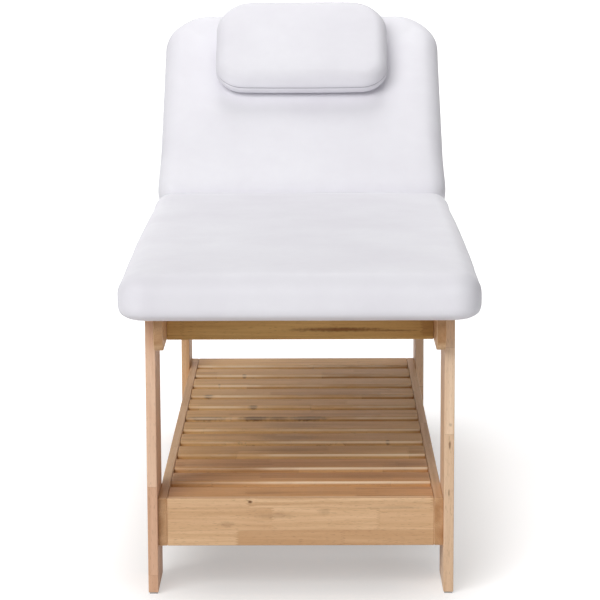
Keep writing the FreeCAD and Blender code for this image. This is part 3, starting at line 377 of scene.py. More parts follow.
def plywood(name, matrix, seed):
    """Veneered board: long figure on its faces and thin plies on its edges."""
    material, g = new_material(name)
    place = turned(g, g.place(), matrix)
    x, y, z = g.split(place)
    wander = g.noise(g.join(g.times(x, 7.0), g.times(y, 1.4), float(seed)), 1.0)
    bands = g.noise(g.join(g.times(wander, 26.0), g.times(y, 0.6), 0.0), 1.0, 3.0, 0.6)
    fibre = g.long_noise(place, (420.0, 12.0, 1.0), 3.0, 0.6)
    color = g.mix(g.remap(bands, 0.35, 0.7), rgb(214, 182, 138), rgb(188, 148, 100))
    color = g.mix(g.remap(fibre, 0.45, 0.8, 0.0, 0.5), color, rgb(150, 108, 68))
    facing = g.math("ABSOLUTE", g.split(turned(g, g.place("Normal"), matrix, False))[2])
    ply = g.math("PINGPONG", z, PLY_THICKNESS)
    ply_color = g.mix(g.remap(ply, PLY_THICKNESS / 3, PLY_THICKNESS * 2 / 3),
                      rgb(196, 158, 112), rgb(126, 88, 54))
    color = g.mix(g.remap(facing, 0.5, 0.8, 1.0, 0.0), color, ply_color)
    finish_material(g, color, g.remap(fibre, 0.3, 0.8, 0.6, 0.78),
                    g.bump(fibre, 0.2 * MM, 0.5), Specular_IOR_Level=0.3)
    return material


def zinc(name, tone, stretch=(1, 1, 1), rough=0.34):
    """Plated steel with rolling marks, faint spangle and handling smudges."""
    material, g = new_material(name)
    place = g.place()
    lines = g.noise(g.vector_math("MULTIPLY", place, stretch), 420.0, 3.0, 0.6)
    smudge = g.noise(place, 45.0, 4.0, 0.6)
    spangle = g.cells(place, 260.0)
    dull = tuple(0.72 * channel for channel in tone[:3]) + (1.0,)
    color = g.mix(g.remap(smudge, 0.35, 0.7), tone, dull)
    color = g.mix(g.remap(spangle, 0.2, 0.9, 0.0, 0.3), color, dull)
    roughness = g.plus(rough, g.remap(smudge, 0.3, 0.75, -0.06, 0.16))
    finish_material(g, color, roughness, g.bump(lines, 0.05 * MM, 0.4), Metallic=1.0)
    return material


def moulded(name, tone, rough=0.5):
    """Moulded plastic or rubber with a fine spark texture and rubbed patches."""
    material, g = new_material(name)
    place = g.place()
    spark = g.noise(place, 2400.0, 2.0, 0.6)
    rub = g.noise(place, 55.0, 4.0, 0.6)
    pale = tuple(min(1.0, channel * 1.7 + 0.012) for channel in tone[:3]) + (1.0,)
    color = g.mix(g.remap(rub, 0.5, 0.8, 0.0, 0.6), tone, pale)
    finish_material(g, color, g.remap(rub, 0.3, 0.7, rough + 0.06, rough - 0.08),
                    g.bump(spark, 0.08 * MM, 0.5), Specular_IOR_Level=0.4)
    return material


def loop_tape(name):
    """Grip tape: a fuzzy mat of loops in rows."""
    material, g = new_material(name)
    place = g.place()
    loops = g.cells(place, 900.0)
    fuzz = g.noise(place, 1700.0, 3.0, 0.7)
    color = g.mix(loops, rgb(228, 228, 232), rgb(150, 150, 158))
    finish_material(g, color, 0.9, g.bump(g.plus(loops, fuzz), 0.6 * MM, 0.9),
                    Specular_IOR_Level=0.1, Sheen_Weight=0.4)
    return material


# Meshes

def mesh_object(name, vertices, faces, material, smooth=True):
    mesh = bpy.data.meshes.new(name)
    mesh.from_pydata([tuple(v) for v in vertices], [], faces)
    mesh.materials.append(material)
    if smooth:
        mesh.shade_smooth()
    obj = bpy.data.objects.new(name, mesh)
    bpy.context.scene.collection.objects.link(obj)
    return obj


def apply_modifiers(obj):
    """Turns the modified mesh into the object's own mesh."""
    graph = bpy.context.evaluated_depsgraph_get()
    graph.update()
    mesh = bpy.data.meshes.new_from_object(obj.evaluated_get(graph))
    mesh.materials.clear()
    for material in obj.data.materials:
        mesh.materials.append(material)
    obj.modifiers.clear()
    obj.data = mesh
    mesh.shade_smooth()
    return obj


def coordinates(mesh):
    points = np.zeros(len(mesh.vertices) * 3)
    mesh.vertices.foreach_get("co", points)
    return points.reshape(-1, 3)


def set_coordinates(mesh, points):
    mesh.vertices.foreach_set("co", np.asarray(points, dtype=np.float32).ravel())
    mesh.update()


def rise(distance, radius):
    """Height that a round of that radius has gained at a distance inside its edge."""
    inside = np.clip(distance, 0, radius)
    return np.sqrt(np.maximum(radius ** 2 - (radius - inside) ** 2, 0))


@dataclass
class Slab:
    """Crowned pad with rounded edges and plan corners, from Y zero to its length, on Z zero.

    Corners and end bows are pairs with the low end first. Seam is the height, depth and half
    width of a groove along the sides.
    """

    half: float
    length: float
    height: float
    crown: float
    top_round: float
    bottom_round: float
    corners: tuple
    side_bow: float = 0.0
    end_bows: tuple = (0.0, 0.0)
    spacing: float = 9 * MM
    ring_step: float = 6 * MM
    seam: tuple = None

    def plan(self, x, y, inset):
        """Place, outward direction and depth inside the outline of a plan grid point."""
        half = self.half - inset
        start = y < self.length / 2
        radius = (self.corners[0] if start else self.corners[1]) - inset
        from_end = (y if start else self.length - y) - inset
        u = (abs(x) - (half - radius)) / radius
        v = (radius - from_end) / radius
        side = 1 if x > 0 else -1
        end = -1 if start else 1
        if u > 0 and v > 0:
            reach = max(u, v)
            span = math.hypot(u, v)
            px = side * (half - radius + radius * reach * u / span)
            inside = radius - radius * reach * v / span + inset
            py = inside if start else self.length - inside
            return px, py, side * u / span, end * v / span, radius * (1 - reach)
        if half - abs(x) < from_end:
            return x, y, side, 0, half - abs(x)
        return x, y, 0, end, from_end

    def shaped(self, x, y):
        """Plan place with the long sides and the ends bowed out."""
        middle = 2 * y / self.length - 1
        x *= 1 + self.side_bow * (1 - middle * middle) / self.half
        across = max(1 - (x / self.half) ** 2, 0)
        y += self.end_bows[1] * across * max(middle, 0) ** 3
        y += self.end_bows[0] * across * min(middle, 0) ** 3
        return x, y

    def swell(self, x, y):
        middle = 2 * y / self.length - 1
        across = x / self.half
        return self.crown * (1 - across ** 2) * (0.06 + 0.94 * (1 - middle ** 4))

    def rings(self):
        """Depth inside the outline and height of each ring, down the side of the slab."""
        quarter = math.pi / 4
        top_steps = max(3, round(self.top_round * quarter / self.ring_step))
        low_steps = max(3, round(self.bottom_round * quarter / self.ring_step))
        found = []
        for step in range(1, top_steps + 1):
            angle = quarter * (1 - step / top_steps)
            found.append((self.top_round * (1 - math.cos(angle)),
                          self.height - self.top_round * (1 - math.sin(angle))))
        if self.height - self.top_round - self.bottom_round > self.ring_step / 2:
            found.append((0.0, self.bottom_round))
        for step in range(1, low_steps + 1):
            angle = quarter * step / low_steps
            found.append((self.bottom_round * (1 - math.cos(angle)),
                          self.bottom_round * (1 - math.sin(angle))))
        if self.seam is not None:
            height, deep, half_width = self.seam
            clear = [ring for ring in found[:-1] if abs(ring[1] - height) > 2 * half_width]
            found = clear + found[-1:]
            found += [(self.depth_at(height + half_width), height + half_width),
                      (self.depth_at(height) + deep, height),
                      (self.depth_at(height - half_width), height - half_width)]
            found.sort(key=lambda ring: -ring[1])
        return found

    def depth_at(self, z):
        """How far inside the outline the slab's side is at that height."""
        if z > self.height - self.top_round:
            radius, lift = self.top_round, 1 - (self.height - z) / self.top_round
        elif z < self.bottom_round:
            radius, lift = self.bottom_round, 1 - z / self.bottom_round
        else:
            return 0.0
        return radius * (1 - math.sqrt(1 - lift * lift))

    def build(self):
        """Vertices and faces of the closed slab."""
        inset = self.top_round * (1 - math.cos(math.pi / 4))
        low_inset = self.bottom_round * (1 - math.cos(math.pi / 4))
        columns = round(2 * self.half / self.spacing)
        rows = round(self.length / self.spacing)
        vertices = []
        grid = {}
        plans = {}
        for i in range(columns + 1):
            for j in range(rows + 1):
                x = (self.half - inset) * (2 * i / columns - 1)
                y = inset + (self.length - 2 * inset) * j / rows
                plans[i, j] = self.plan(x, y, inset)
        for layer in ("top", "bottom"):
            for (i, j), (x, y, out_x, out_y, depth) in plans.items():
                if layer == "top":
                    z = self.height - self.top_round + rise(inset + depth, self.top_round)
                    z += self.swell(x, y)
                else:
                    if i in (0, columns) or j in (0, rows):
                        x += out_x * (inset - low_inset)
                        y += out_y * (inset - low_inset)
                    z = self.bottom_round - rise(low_inset + depth, self.bottom_round)
                grid[layer, i, j] = len(vertices)
                vertices.append((*self.shaped(x, y), float(z)))
        border = ([(i, 0) for i in range(columns)] + [(columns, j) for j in range(rows)]
                  + [(i, rows) for i in range(columns, 0, -1)]
                  + [(0, j) for j in range(rows, 0, -1)])
        loops = [[grid["top", i, j] for i, j in border]]
        for depth, z in self.rings()[:-1]:
            loop = []
            for i, j in border:
                x, y, out_x, out_y, _ = plans[i, j]
                loop.append(len(vertices))
                shift = inset - depth
                vertices.append((*self.shaped(x + out_x * shift, y + out_y * shift), z))
            loops.append(loop)
        loops.append([grid["bottom", i, j] for i, j in border])
        faces = []
        for i in range(columns):
            for j in range(rows):
                quad = [(i, j), (i + 1, j), (i + 1, j + 1), (i, j + 1)]
                faces.append([grid["top", a, b] for a, b in quad])
                faces.append([grid["bottom", a, b] for a, b in reversed(quad)])
        count = len(border)
        for upper, lower in zip(loops, loops[1:]):
            for k in range(count):
                nxt = (k + 1) % count
                faces.append([upper[nxt], upper[k], lower[k], lower[nxt]])
        return vertices, faces


SWELL_FRAMES = 16
SWELL_CAP = 6 * MM
# Stiff coated cloth over a slight pressure.
CLOTH_SETTINGS = {
    "quality": 6, "mass": 0.35, "tension_stiffness": 30, "compression_stiffness": 30,
    "shear_stiffness": 12, "bending_stiffness": 2.5, "tension_damping": 8,
    "compression_damping": 8, "use_pressure": True, "uniform_pressure_force": 6.0,
    "vertex_group_mass": "held"}


def settle(obj, pinned, loose):
    """Swells a closed mesh as stuffed cloth, with no point moved further than the cap.

    Loose is each point's share of its own movement that it keeps.
    """
    scene = bpy.context.scene
    rest = coordinates(obj.data)
    group = obj.vertex_groups.new(name="held")
    group.add(np.nonzero(pinned)[0].tolist(), 1.0, "REPLACE")
    cloth = obj.modifiers.new("cloth", "CLOTH")
    for name, value in CLOTH_SETTINGS.items():
        setattr(cloth.settings, name, value)
    cloth.settings.effector_weights.gravity = 0
    cloth.point_cache.frame_start = 1
    cloth.point_cache.frame_end = SWELL_FRAMES
    for number in range(1, SWELL_FRAMES + 1):
        scene.frame_set(number)
    evaluated = obj.evaluated_get(bpy.context.evaluated_depsgraph_get())
    moved = coordinates(evaluated.to_mesh())
    evaluated.to_mesh_clear()
    obj.modifiers.remove(cloth)
    obj.vertex_groups.remove(group)
    scene.frame_set(1)
    delta = moved - rest
    size = np.linalg.norm(delta, axis=1)
    factor = np.minimum(1.0, SWELL_CAP / np.maximum(size, 1e-9)) * loose
    set_coordinates(obj.data, rest + delta * factor[:, None])


def fill_box(obj, low, high):
    """Stretches a mesh a little along each axis, to fill the box between two corners."""
    points = coordinates(obj.data)
    share = (points - points.min(0)) / (points.max(0) - points.min(0))
    set_coordinates(obj.data, low + share * (high - low))


def subdivide(obj):
    modifier = obj.modifiers.new("subdivision", "SUBSURF")
    modifier.levels = 1
    modifier.render_levels = 1
    return apply_modifiers(obj)


PRISM_STEPS = 12


def prism(low, high, corner):
    """Box between two corners; its upright edges at the high Y end may be rounded."""
    outline = [(low.x, low.y), (high.x, low.y)]
    for side, centre_x, first in ((1, high.x - corner, 0.0), (-1, low.x + corner, 0.5)):
        steps = PRISM_STEPS if corner > 0 else 0
        for step in range(steps + 1):
            angle = math.pi * (first + 0.5 * step / max(steps, 1))
            outline.append((centre_x + corner * math.cos(angle),
                            high.y - corner + corner * math.sin(angle)))
    count = len(outline)
    vertices = [(x, y, z) for z in (low.z, high.z) for x, y in outline]
    faces = [list(range(count - 1, -1, -1)), list(range(count, 2 * count))]
    faces += [(k, (k + 1) % count, count + (k + 1) % count, count + k) for k in range(count)]
    return vertices, faces


def carve(obj, boxes):
    """Cuts boxes out of a mesh: lowest and highest corner, and the round of the far edges."""
    for low, high, corner in boxes:
        vertices, faces = prism(low, high, corner)
        mesh = bpy.data.meshes.new("cutter")
        mesh.from_pydata(vertices, [], faces)
        cutter = bpy.data.objects.new("cutter", mesh)
        bpy.context.scene.collection.objects.link(cutter)
        modifier = obj.modifiers.new("recess", "BOOLEAN")
        modifier.operation = "DIFFERENCE"
        modifier.solver = "EXACT"
        modifier.object = cutter
        apply_modifiers(obj)
        bpy.data.objects.remove(cutter)


def undulate(obj, amount, scale, seed):
    """Moves points along their normals by smooth noise, as foam under a tight cover."""
    points = coordinates(obj.data)
    normals = np.zeros(len(points) * 3)
    obj.data.vertices.foreach_get("normal", normals)
    normals = normals.reshape(-1, 3)
    offset = Vector((seed, seed * 0.7, seed * 1.3))
    lift = np.array([noise.noise(Vector(p) * scale + offset) for p in points])
    set_coordinates(obj.data, points + normals * (lift * amount)[:, None])


def place_in(obj, matrix):
    """Moves the mesh itself, so the object stays at the origin."""
    obj.data.transform(matrix)
    obj.data.update()


# Upholstery

WHITE_VINYL = vinyl("white_vinyl", rgb(238, 237, 242), rgb(231, 229, 235))

PAD_TOP_ROUND = 41 * MM
PAD_BOTTOM_ROUND = 31.7 * MM
PAD_CROWN = 6 * MM
PAD_THICKNESS = 92 * MM
SEAT_SIDE_BOW = 4.5 * MM
FOOT_CORNER = 58 * MM
HINGE_CORNER = 47 * MM
HEAD_CORNER = 111 * MM
HEAD_BOW = 4.8 * MM
REST_GAP = 0.4 * MM
HINGE_PIN_RADIUS = 2 * MM
LEAF_SPACE = 2 * MM
BOARD_CORNER = 65 * MM
RECESS_CLEARANCE = 0.2 * MM
RECESS_OVER = 5 * MM
SWELL_SHARE = 0.65
HELD_UNDER = 2 * MM
HELD_END = 30 * MM
LOOSE_END = 150 * MM
LOOSE_HEIGHT = 35 * MM
# Height and fineness of the waves of the foam under a tight cover.
FOAM_WAVE = 0.5 * MM
PAD_WAVE_SCALE = 9.0
PILLOW_WAVE_SCALE = 14.0


def pad_pins(points, hinge_end):
    """Points that are held: the stapled underside, and the end beside the hinge."""
    return (points[:, 2] < HELD_UNDER) | (np.abs(points[:, 1] - hinge_end) < HELD_END)


def looseness(points, hinge_end):
    """Share of the swelling that each point keeps: none where held, more further away."""
    from_hinge = (np.abs(points[:, 1] - hinge_end) - HELD_END) / LOOSE_END
    from_under = points[:, 2] / LOOSE_HEIGHT
    share = np.clip(from_hinge, 0, 1) * np.clip(from_under, 0, 1)
    return SWELL_SHARE * share * share * (3 - 2 * share)


def make_pad(name, slab, hinge_end, seed):
    """Upholstered pad in its own frame, swollen against its cover."""
    obj = mesh_object(name, *slab.build(), WHITE_VINYL)
    points = coordinates(obj.data)
    settle(obj, pad_pins(points, hinge_end), looseness(points, hinge_end))
    fill_box(obj, points.min(0), points.max(0))
    undulate(obj, FOAM_WAVE, PAD_WAVE_SCALE, seed)
    return subdivide(obj)


def recess_boxes(board, batten, leaf_top, end_y, inward, corner=0.0):
    """Boxes for the board, the batten and the hinge leaves, open below and at the hinge end."""
    far = 1 if inward > 0 else 0
    outside = end_y - inward * RECESS_OVER
    boxes = []
    for reach, top, round_corner in ((board[far].y, board[1].z, corner),
                                     (batten[far].y, batten[1].z, 0.0),
                                     (end_y + inward * LEAF_SPACE, leaf_top, 0.0)):
        reach += inward * RECESS_CLEARANCE
        low = Vector((board[0].x - RECESS_CLEARANCE, min(outside, reach),
                      board[0].z - RECESS_OVER))
        high = Vector((board[1].x + RECESS_CLEARANCE, max(outside, reach),
                       top + RECESS_CLEARANCE))
        boxes.append((low, high, round_corner))
    return boxes


seat_low, seat_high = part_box("seat_pad")
seat_frame = Matrix.Translation((0, seat_low.y, seat_low.z))
seat_board = local_box("seat_board", seat_frame)
seat_slab = Slab(seat_high.x - SEAT_SIDE_BOW, seat_high.y - seat_low.y, PAD_THICKNESS,
                 PAD_CROWN, PAD_TOP_ROUND, PAD_BOTTOM_ROUND, (FOOT_CORNER, HINGE_CORNER),
                 SEAT_SIDE_BOW)
seat = make_pad("seat_cushion", seat_slab, seat_slab.length, 3.0)
carve(seat, recess_boxes(seat_board, local_box("seat_hinge_batten", seat_frame),
                         HINGE.z - seat_low.z - HINGE_PIN_RADIUS, seat_slab.length, -1))
place_in(seat, seat_frame)

back_low, back_high = local_box("backrest_pad", BACKREST)
back_frame = BACKREST @ Matrix.Translation((0, back_low.y, back_low.z))
back_board = local_box("backrest_board", back_frame)
back_slab = Slab(back_high.x, back_high.y - back_low.y, PAD_THICKNESS - REST_GAP, PAD_CROWN,
                 PAD_TOP_ROUND, PAD_BOTTOM_ROUND, (HINGE_CORNER, HEAD_CORNER),
                 end_bows=(0.0, HEAD_BOW))
back = make_pad("backrest_cushion", back_slab, 0.0, 8.0)
carve(back, recess_boxes(back_board, local_box("backrest_hinge_batten", back_frame),
                         -back_low.z - HINGE_PIN_RADIUS, 0.0, 1, BOARD_CORNER))
place_in(back, back_frame)

PILLOW_HEIGHT = 62 * MM
PILLOW_CROWN = 9 * MM
PILLOW_TOP_ROUND = 29.8 * MM
PILLOW_BOTTOM_ROUND = 24.8 * MM
PILLOW_CORNERS = (66.8 * MM, 90.8 * MM)
PILLOW_SIDE_BOW = 1.5 * MM
PILLOW_END_BOW = 3 * MM
SEAM_HEIGHT = 31.5 * MM
SEAM_DEPTH = 3 * MM
SEAM_HALF_WIDTH = 1.8 * MM
pillow_low, pillow_high = local_box("head_pillow", BACKREST)
pillow_frame = BACKREST @ Matrix.Translation((0, pillow_low.y, pillow_low.z))
pillow_slab = Slab(pillow_high.x - PILLOW_SIDE_BOW, pillow_high.y - pillow_low.y,
                   PILLOW_HEIGHT, PILLOW_CROWN, PILLOW_TOP_ROUND, PILLOW_BOTTOM_ROUND,
                   PILLOW_CORNERS, PILLOW_SIDE_BOW, (PILLOW_END_BOW, 0.0),
                   spacing=7 * MM, ring_step=4 * MM,
                   seam=(SEAM_HEIGHT, SEAM_DEPTH, SEAM_HALF_WIDTH))
# The pillow's vinyl is darkened along its seam with painted shade.
PILLOW_VINYL = vinyl("pillow_vinyl", rgb(235, 234, 239), rgb(228, 226, 232),
                     (pillow_frame, SEAM_HEIGHT, SEAM_HALF_WIDTH))
pillow = mesh_object("head_pillow_cover", *pillow_slab.build(), PILLOW_VINYL)
undulate(pillow, FOAM_WAVE, PILLOW_WAVE_SCALE, 5.0)
subdivide(pillow)
place_in(pillow, pillow_frame)

for piece, body, node, slot_name, fill in (
        (seat, "base", "seat_pad", "pad_vinyl", 0.9),
        (back, "backrest", "backrest_pad", "pad_vinyl", 0.9),
        (pillow, "pillow", "head_pillow", "pillow_vinyl", 0.75)):
    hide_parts(node)
    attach(piece, body)


# Wood and fittings

# Marks seen in the wood: node, shares of its box across, along the bed and up, half sizes in
# millimetres along, across and through the board, and darkness.
MARKS = [
    ("right_foot_leg", (0.55, 0.0, 0.528), (11, 16, 2.6), 0.75),
    ("right_foot_leg", (0.5, 0.0, 0.357), (10, 14, 2.2), 0.6),
    ("right_foot_leg", (0.6, 0.0, 0.60), (5, 10, 4), 0.3),
    ("foot_cross_rail", (0.64, 0.0, 0.28), (115, 5.5, 9), 0.72),
    ("foot_cross_rail", (0.84, 0.0, 0.25), (75, 2.6, 9), 0.5),
    ("foot_shelf_apron", (0.311, 0.0, 0.925), (6, 4, 9), 0.9),
    ("foot_shelf_apron", (0.405, 0.0, 0.63), (48, 8, 9), 0.22),
    ("foot_shelf_apron", (0.225, 0.0, 0.45), (18, 8, 9), 0.24),
    ("foot_shelf_apron", (0.588, 0.0, 0.71), (17, 9, 9), 0.20),
    ("foot_shelf_apron", (0.86, 0.0, 0.80), (60, 5, 9), 0.18)]
# Knots, streaks and soft dark patches on the slats, some of them painted shade: slat number,
# shares across and along the bed, half length and half width, and darkness.
SLAT_MARKS_AND_SHADE = (
    (11, 0.228, 0.0, 7, 9, 0.85), (10, 0.12, 0.05, 4, 7, 0.6), (9, 0.08, 0.0, 16, 8, 0.8),
    (8, 0.285, 0.0, 15, 7, 0.8), (7, 0.09, 0.0, 64, 8, 0.75), (7, 0.30, 0.0, 46, 9, 0.95),
    (7, 0.40, 0.0, 34, 7, 0.7), (7, 0.52, 0.0, 58, 8, 0.9), (5, 0.855, 0.0, 6, 8, 0.8),
    # The broad soft patches on slats 4 to 6 are painted shade; slats 1 to 3 carry soft dark
    # patches.
    (6, 0.46, 0.5, 85, 46, 0.30), (5, 0.44, 0.5, 85, 46, 0.38), (4, 0.42, 0.5, 75, 40, 0.20),
    (3, 0.90, 0.3, 60, 30, 0.25), (2, 0.75, 0.6, 90, 28, 0.22), (1, 0.35, 0.4, 60, 25, 0.18))
MARKS += [(f"shelf_slat_{number:02d}", (across, along, 1.0), (long, wide, 12), darkness)
          for number, across, along, long, wide, darkness in SLAT_MARKS_AND_SHADE]


def marks_of(node, axes):
    """Marks of one board: centre and half sizes in metres, and darkness."""
    low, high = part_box(node)
    order = ["xyz".index(axis) for axis in axes]
    return [([low[k] + shares[k] * (high[k] - low[k]) for k in order],
             [half * MM for half in half_sizes], darkness)
            for marked, shares, half_sizes, darkness in MARKS if marked == node]


# Boards in the order of their seeds: node, axes and tones.
BOARDS = (
    ("left_foot_leg", "zyx", PINK_BEECH), ("left_head_leg", "zyx", BEECH),
    ("right_foot_leg", "zyx", LIGHT_BEECH), ("right_head_leg", "zyx", LIGHT_BEECH),
    ("left_top_rail", "yzx", BEECH), ("right_top_rail", "yzx", BEECH),
    ("foot_cross_rail", "xzy", OCHRE_BEECH), ("middle_cross_rail", "xzy", BEECH),
    ("head_cross_rail", "xzy", BEECH),
    ("left_top_cleat", "yxz", BEECH), ("right_top_cleat", "yxz", BEECH),
    ("left_shelf_rail", "yzx", BEECH), ("right_shelf_rail", "yzx", BEECH),
    ("foot_shelf_apron", "xzy", BEECH), ("head_shelf_apron", "xzy", BEECH),
    ("left_shelf_cleat", "yxz", BROWN_BEECH), ("right_shelf_cleat", "yxz", BROWN_BEECH))
# Endings of the boards that are glued from narrower strips.
NARROW = ("top_rail", "cross_rail")
SLAT_TONES = [RED_BEECH] * 3 + [GOLD_BEECH] * 3 + [BROWN_BEECH] * 6
FIRST_SLAT_SEED = 21

for seed, (board, axes, tones) in enumerate(BOARDS, 1):
    strip = RAIL_STRIP if board.endswith(NARROW) else BOARD_STRIP
    dress(board, wood("wood_" + board, axes, tones, seed, strip, marks_of(board, axes)))
for k, tones in enumerate(SLAT_TONES):
    slat = f"shelf_slat_{k + 1:02d}"
    dress(slat, wood("wood_" + slat, "xyz", tones, FIRST_SLAT_SEED + k, SLAT_STRIP,
                     marks_of(slat, "xyz"), front=(SLAT_EDGE_PAINTED_LIGHT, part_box(slat)[1].z)))
dress("seat_hinge_batten", wood("wood_seat_hinge_batten", "xzy", BEECH, 40))
dress("backrest_hinge_batten", wood("wood_backrest_hinge_batten", "xzy", BEECH, 41,
                                    matrix=BACKREST))
dress("seat_board", plywood("plywood_seat", Matrix.Identity(4), 1))
dress("backrest_board", plywood("plywood_backrest", BACKREST, 2))

FITTINGS = (
    (zinc("zinc_plate", rgb(196, 198, 204), (1, 6, 1)),
     ("seat_hinge_leaves", "backrest_hinge_leaves", "hinge_pins", "left_stay", "right_stay",
      "left_stay_bracket", "right_stay_bracket", "left_stay_stud", "right_stay_stud",
      "left_stay_spacer", "right_stay_spacer")),
    (zinc("zinc_screws", rgb(206, 206, 208), rough=0.26),
     ("board_screws", "slat_screws", "bracket_screws", "connector_bolts", "seat_hinge_screws",
      "backrest_hinge_screws", "left_stay_pivot", "right_stay_pivot")),
    (zinc("brass_inserts", rgb(204, 170, 104), rough=0.3), ("threaded_inserts",)),
    (moulded("black_knob", rgb(34, 34, 36)), ("left_clamp_knob", "right_clamp_knob")),
    (moulded("grey_glide", rgb(176, 174, 172), 0.7), ("floor_glides",)),
    (loop_tape("grip_tape"), ("pillow_grip_tapes",)))
for fitting_material, fitting_nodes in FITTINGS:
    for fitting in fitting_nodes:
        dress(fitting, fitting_material)


# Hem of each cover, folded under its board, and the staples that hold it

HEM_OVER = 3 * MM
HEM_REACH = 16 * MM
HEM_THICKNESS = 0.8 * MM
HEM_WAVE = 1.5 * MM
HEM_WAVE_SCALE = 45.0
HEM_STEP = 6 * MM
HEM_CLEARANCE = 3 * MM
# Staples stand a number of steps apart, at a share of the hem's reach. Bends are shares of a
# staple's half length and of its wire's thickness.
STAPLE_STEPS = 6
STAPLE_SHARE = 0.45
STAPLE_HALF = 5 * MM
STAPLE_WIRE = 0.9 * MM
STAPLE_BEND_SHARES = ((-1, 0.0), (-0.85, 0.7), (0, 0.9), (0.85, 0.7), (1, 0.0))
UNDER_REACH = 2 * MM


def straight(start, end, inward):
    """Points along a line in plan, each with its inward direction."""
    count = max(2, round((end - start).length / HEM_STEP))
    return [(start.lerp(end, step / count), inward) for step in range(count + 1)]


def board_edges(low, high, toward, corner):
    """Edges of a board in plan but the hinge end; toward is the far end's sign along Y."""
    far, near = (high.y, low.y) if toward > 0 else (low.y, high.y)
    turn = far - toward * corner
    sides = [straight(Vector((x, near)), Vector((x, turn)), Vector((-1 if x > 0 else 1, 0)))
             for x in (low.x, high.x)]
    short = corner if corner > 0 else HEM_REACH
    end = straight(Vector((low.x + short, far)), Vector((high.x - short, far)),
                   Vector((0, -toward)))
    if corner == 0:
        return sides + [end]
    bends = []
    steps = round(corner * math.pi / 2 / HEM_STEP)
    for centre_x, first in ((low.x + corner, math.pi), (high.x - corner, math.pi / 2)):
        bend = []
        for step in range(1, steps):
            angle = toward * (first - math.pi / 2 * step / steps)
            outward = Vector((math.cos(angle), math.sin(angle)))
            bend.append((Vector((centre_x, turn)) + outward * corner, -outward))
        bends.append(bend)
    return [sides[0] + bends[0] + end + bends[1] + sides[1][::-1]]


def open_runs(path, blocks):
    """Stretches of an edge whose hem stays clear of the blocked rectangles."""
    runs = [[]]
    for point, inward in path:
        inner = point + inward * (HEM_REACH + HEM_CLEARANCE)
        outer = point - inward * HEM_OVER
        clear = all(max(inner.x, outer.x) < low.x or min(inner.x, outer.x) > high.x
                    or max(inner.y, outer.y) < low.y or min(inner.y, outer.y) > high.y
                    for low, high in blocks)
        if clear:
            runs[-1].append((point, inward))
        elif runs[-1]:
            runs.append([])
    return [run for run in runs if len(run) > STAPLE_STEPS]


def tube_faces(first, sections):
    """Side and end faces of a bar made of four-point sections, numbered from first."""
    faces = [[first, first + 1, first + 2, first + 3]]
    for section in range(sections - 1):
        base = first + 4 * section
        faces += [[base + k, base + 4 + k, base + 4 + (k + 1) % 4, base + (k + 1) % 4]
                  for k in range(4)]
    last = first + 4 * (sections - 1)
    return faces + [[last + 3, last + 2, last + 1, last]]


def make_hem(name, body, matrix, paths, blocks):
    """Stapled vinyl hem under a pad whose underside lies on Z zero of the frame given."""
    hem, hem_faces, wire, wire_faces = [], [], [], []
    for run in (run for path in paths for run in open_runs(path, blocks)):
        hem_faces += tube_faces(len(hem), len(run))
        for number, (point, inward) in enumerate(run):
            wave = noise.noise(Vector((point.x, point.y, 0.3)) * HEM_WAVE_SCALE)
            inner = point + inward * (HEM_REACH + HEM_WAVE * wave)
            outer = point - inward * HEM_OVER
            held = 0.5 - 0.5 * math.cos(2 * math.pi * number / STAPLE_STEPS)
            loose = HEM_THICKNESS * (1 + 0.5 * held)
            hem += [(outer.x, outer.y, 0.0), (inner.x, inner.y, 0.0),
                    (inner.x, inner.y, -loose), (outer.x, outer.y, -HEM_THICKNESS)]
        for number in range(STAPLE_STEPS, len(run) - 2, STAPLE_STEPS):
            point, inward = run[number]
            along = (run[number + 1][0] - point).normalized()
            centre = point + inward * HEM_REACH * STAPLE_SHARE
            wire_faces += tube_faces(len(wire), len(STAPLE_BEND_SHARES))
            for share, drop in STAPLE_BEND_SHARES:
                middle = centre + along * STAPLE_HALF * share
                low = -HEM_THICKNESS - STAPLE_WIRE * drop
                a = middle - inward * STAPLE_WIRE / 2
                b = middle + inward * STAPLE_WIRE / 2
                wire += [(a.x, a.y, low + STAPLE_WIRE), (b.x, b.y, low + STAPLE_WIRE),
                         (b.x, b.y, low), (a.x, a.y, low)]
    for label, points, faces, material, slot_name in (
            ("hem", hem, hem_faces, WHITE_VINYL, "pad_vinyl"),
            ("staples", wire, wire_faces, STAPLE_ZINC, "zinc_steel")):
        piece = mesh_object(f"{name}_{label}", points, faces, material, smooth=False)
        place_in(piece, matrix)
        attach(piece, body)


def plan_block(low, high, shift=0.0):
    """Rectangle that a node covers in plan, in a pad's frame that starts at shift."""
    spare = Vector((HEM_CLEARANCE, HEM_CLEARANCE))
    return (Vector((low.x, low.y - shift)) - spare, Vector((high.x, high.y - shift)) + spare)


STAPLE_ZINC = zinc("zinc_staples", rgb(200, 200, 204), rough=0.3)
under_seat = [box for box in (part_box(board[0]) for board in BOARDS)
              if box[1].z > seat_low.z - UNDER_REACH]
make_hem("seat", "base", seat_frame, board_edges(*seat_board, -1, 0.0),
         [plan_block(*box, seat_low.y) for box in under_seat])
brackets = [local_box(node, back_frame) for node in ("left_stay_bracket", "right_stay_bracket")]
make_hem("backrest", "backrest", back_frame, board_edges(*back_board, 1, BOARD_CORNER),
         [plan_block(*box, HINGE.y + back_low.y) for box in under_seat]
         + [plan_block(*box) for box in brackets])


# Floor, light and camera

FLOOR_GLOW = 0.6
SHADOW_GLOW = 0.40
WORLD_STRENGTH = 0.14
# Painted shadow: under the middle of the bed's footprint the floor is seen darker and glows
# less: half sizes there, and how far the painted shadow fades.
UNDER_HALF = (0.12, 0.62, 0.0)
UNDER_FADE = (0.03, 0.42)
# Distances over which the floor turns white.
FAR_FADE = (1.3, 3.0)
BEND_STEPS = 16


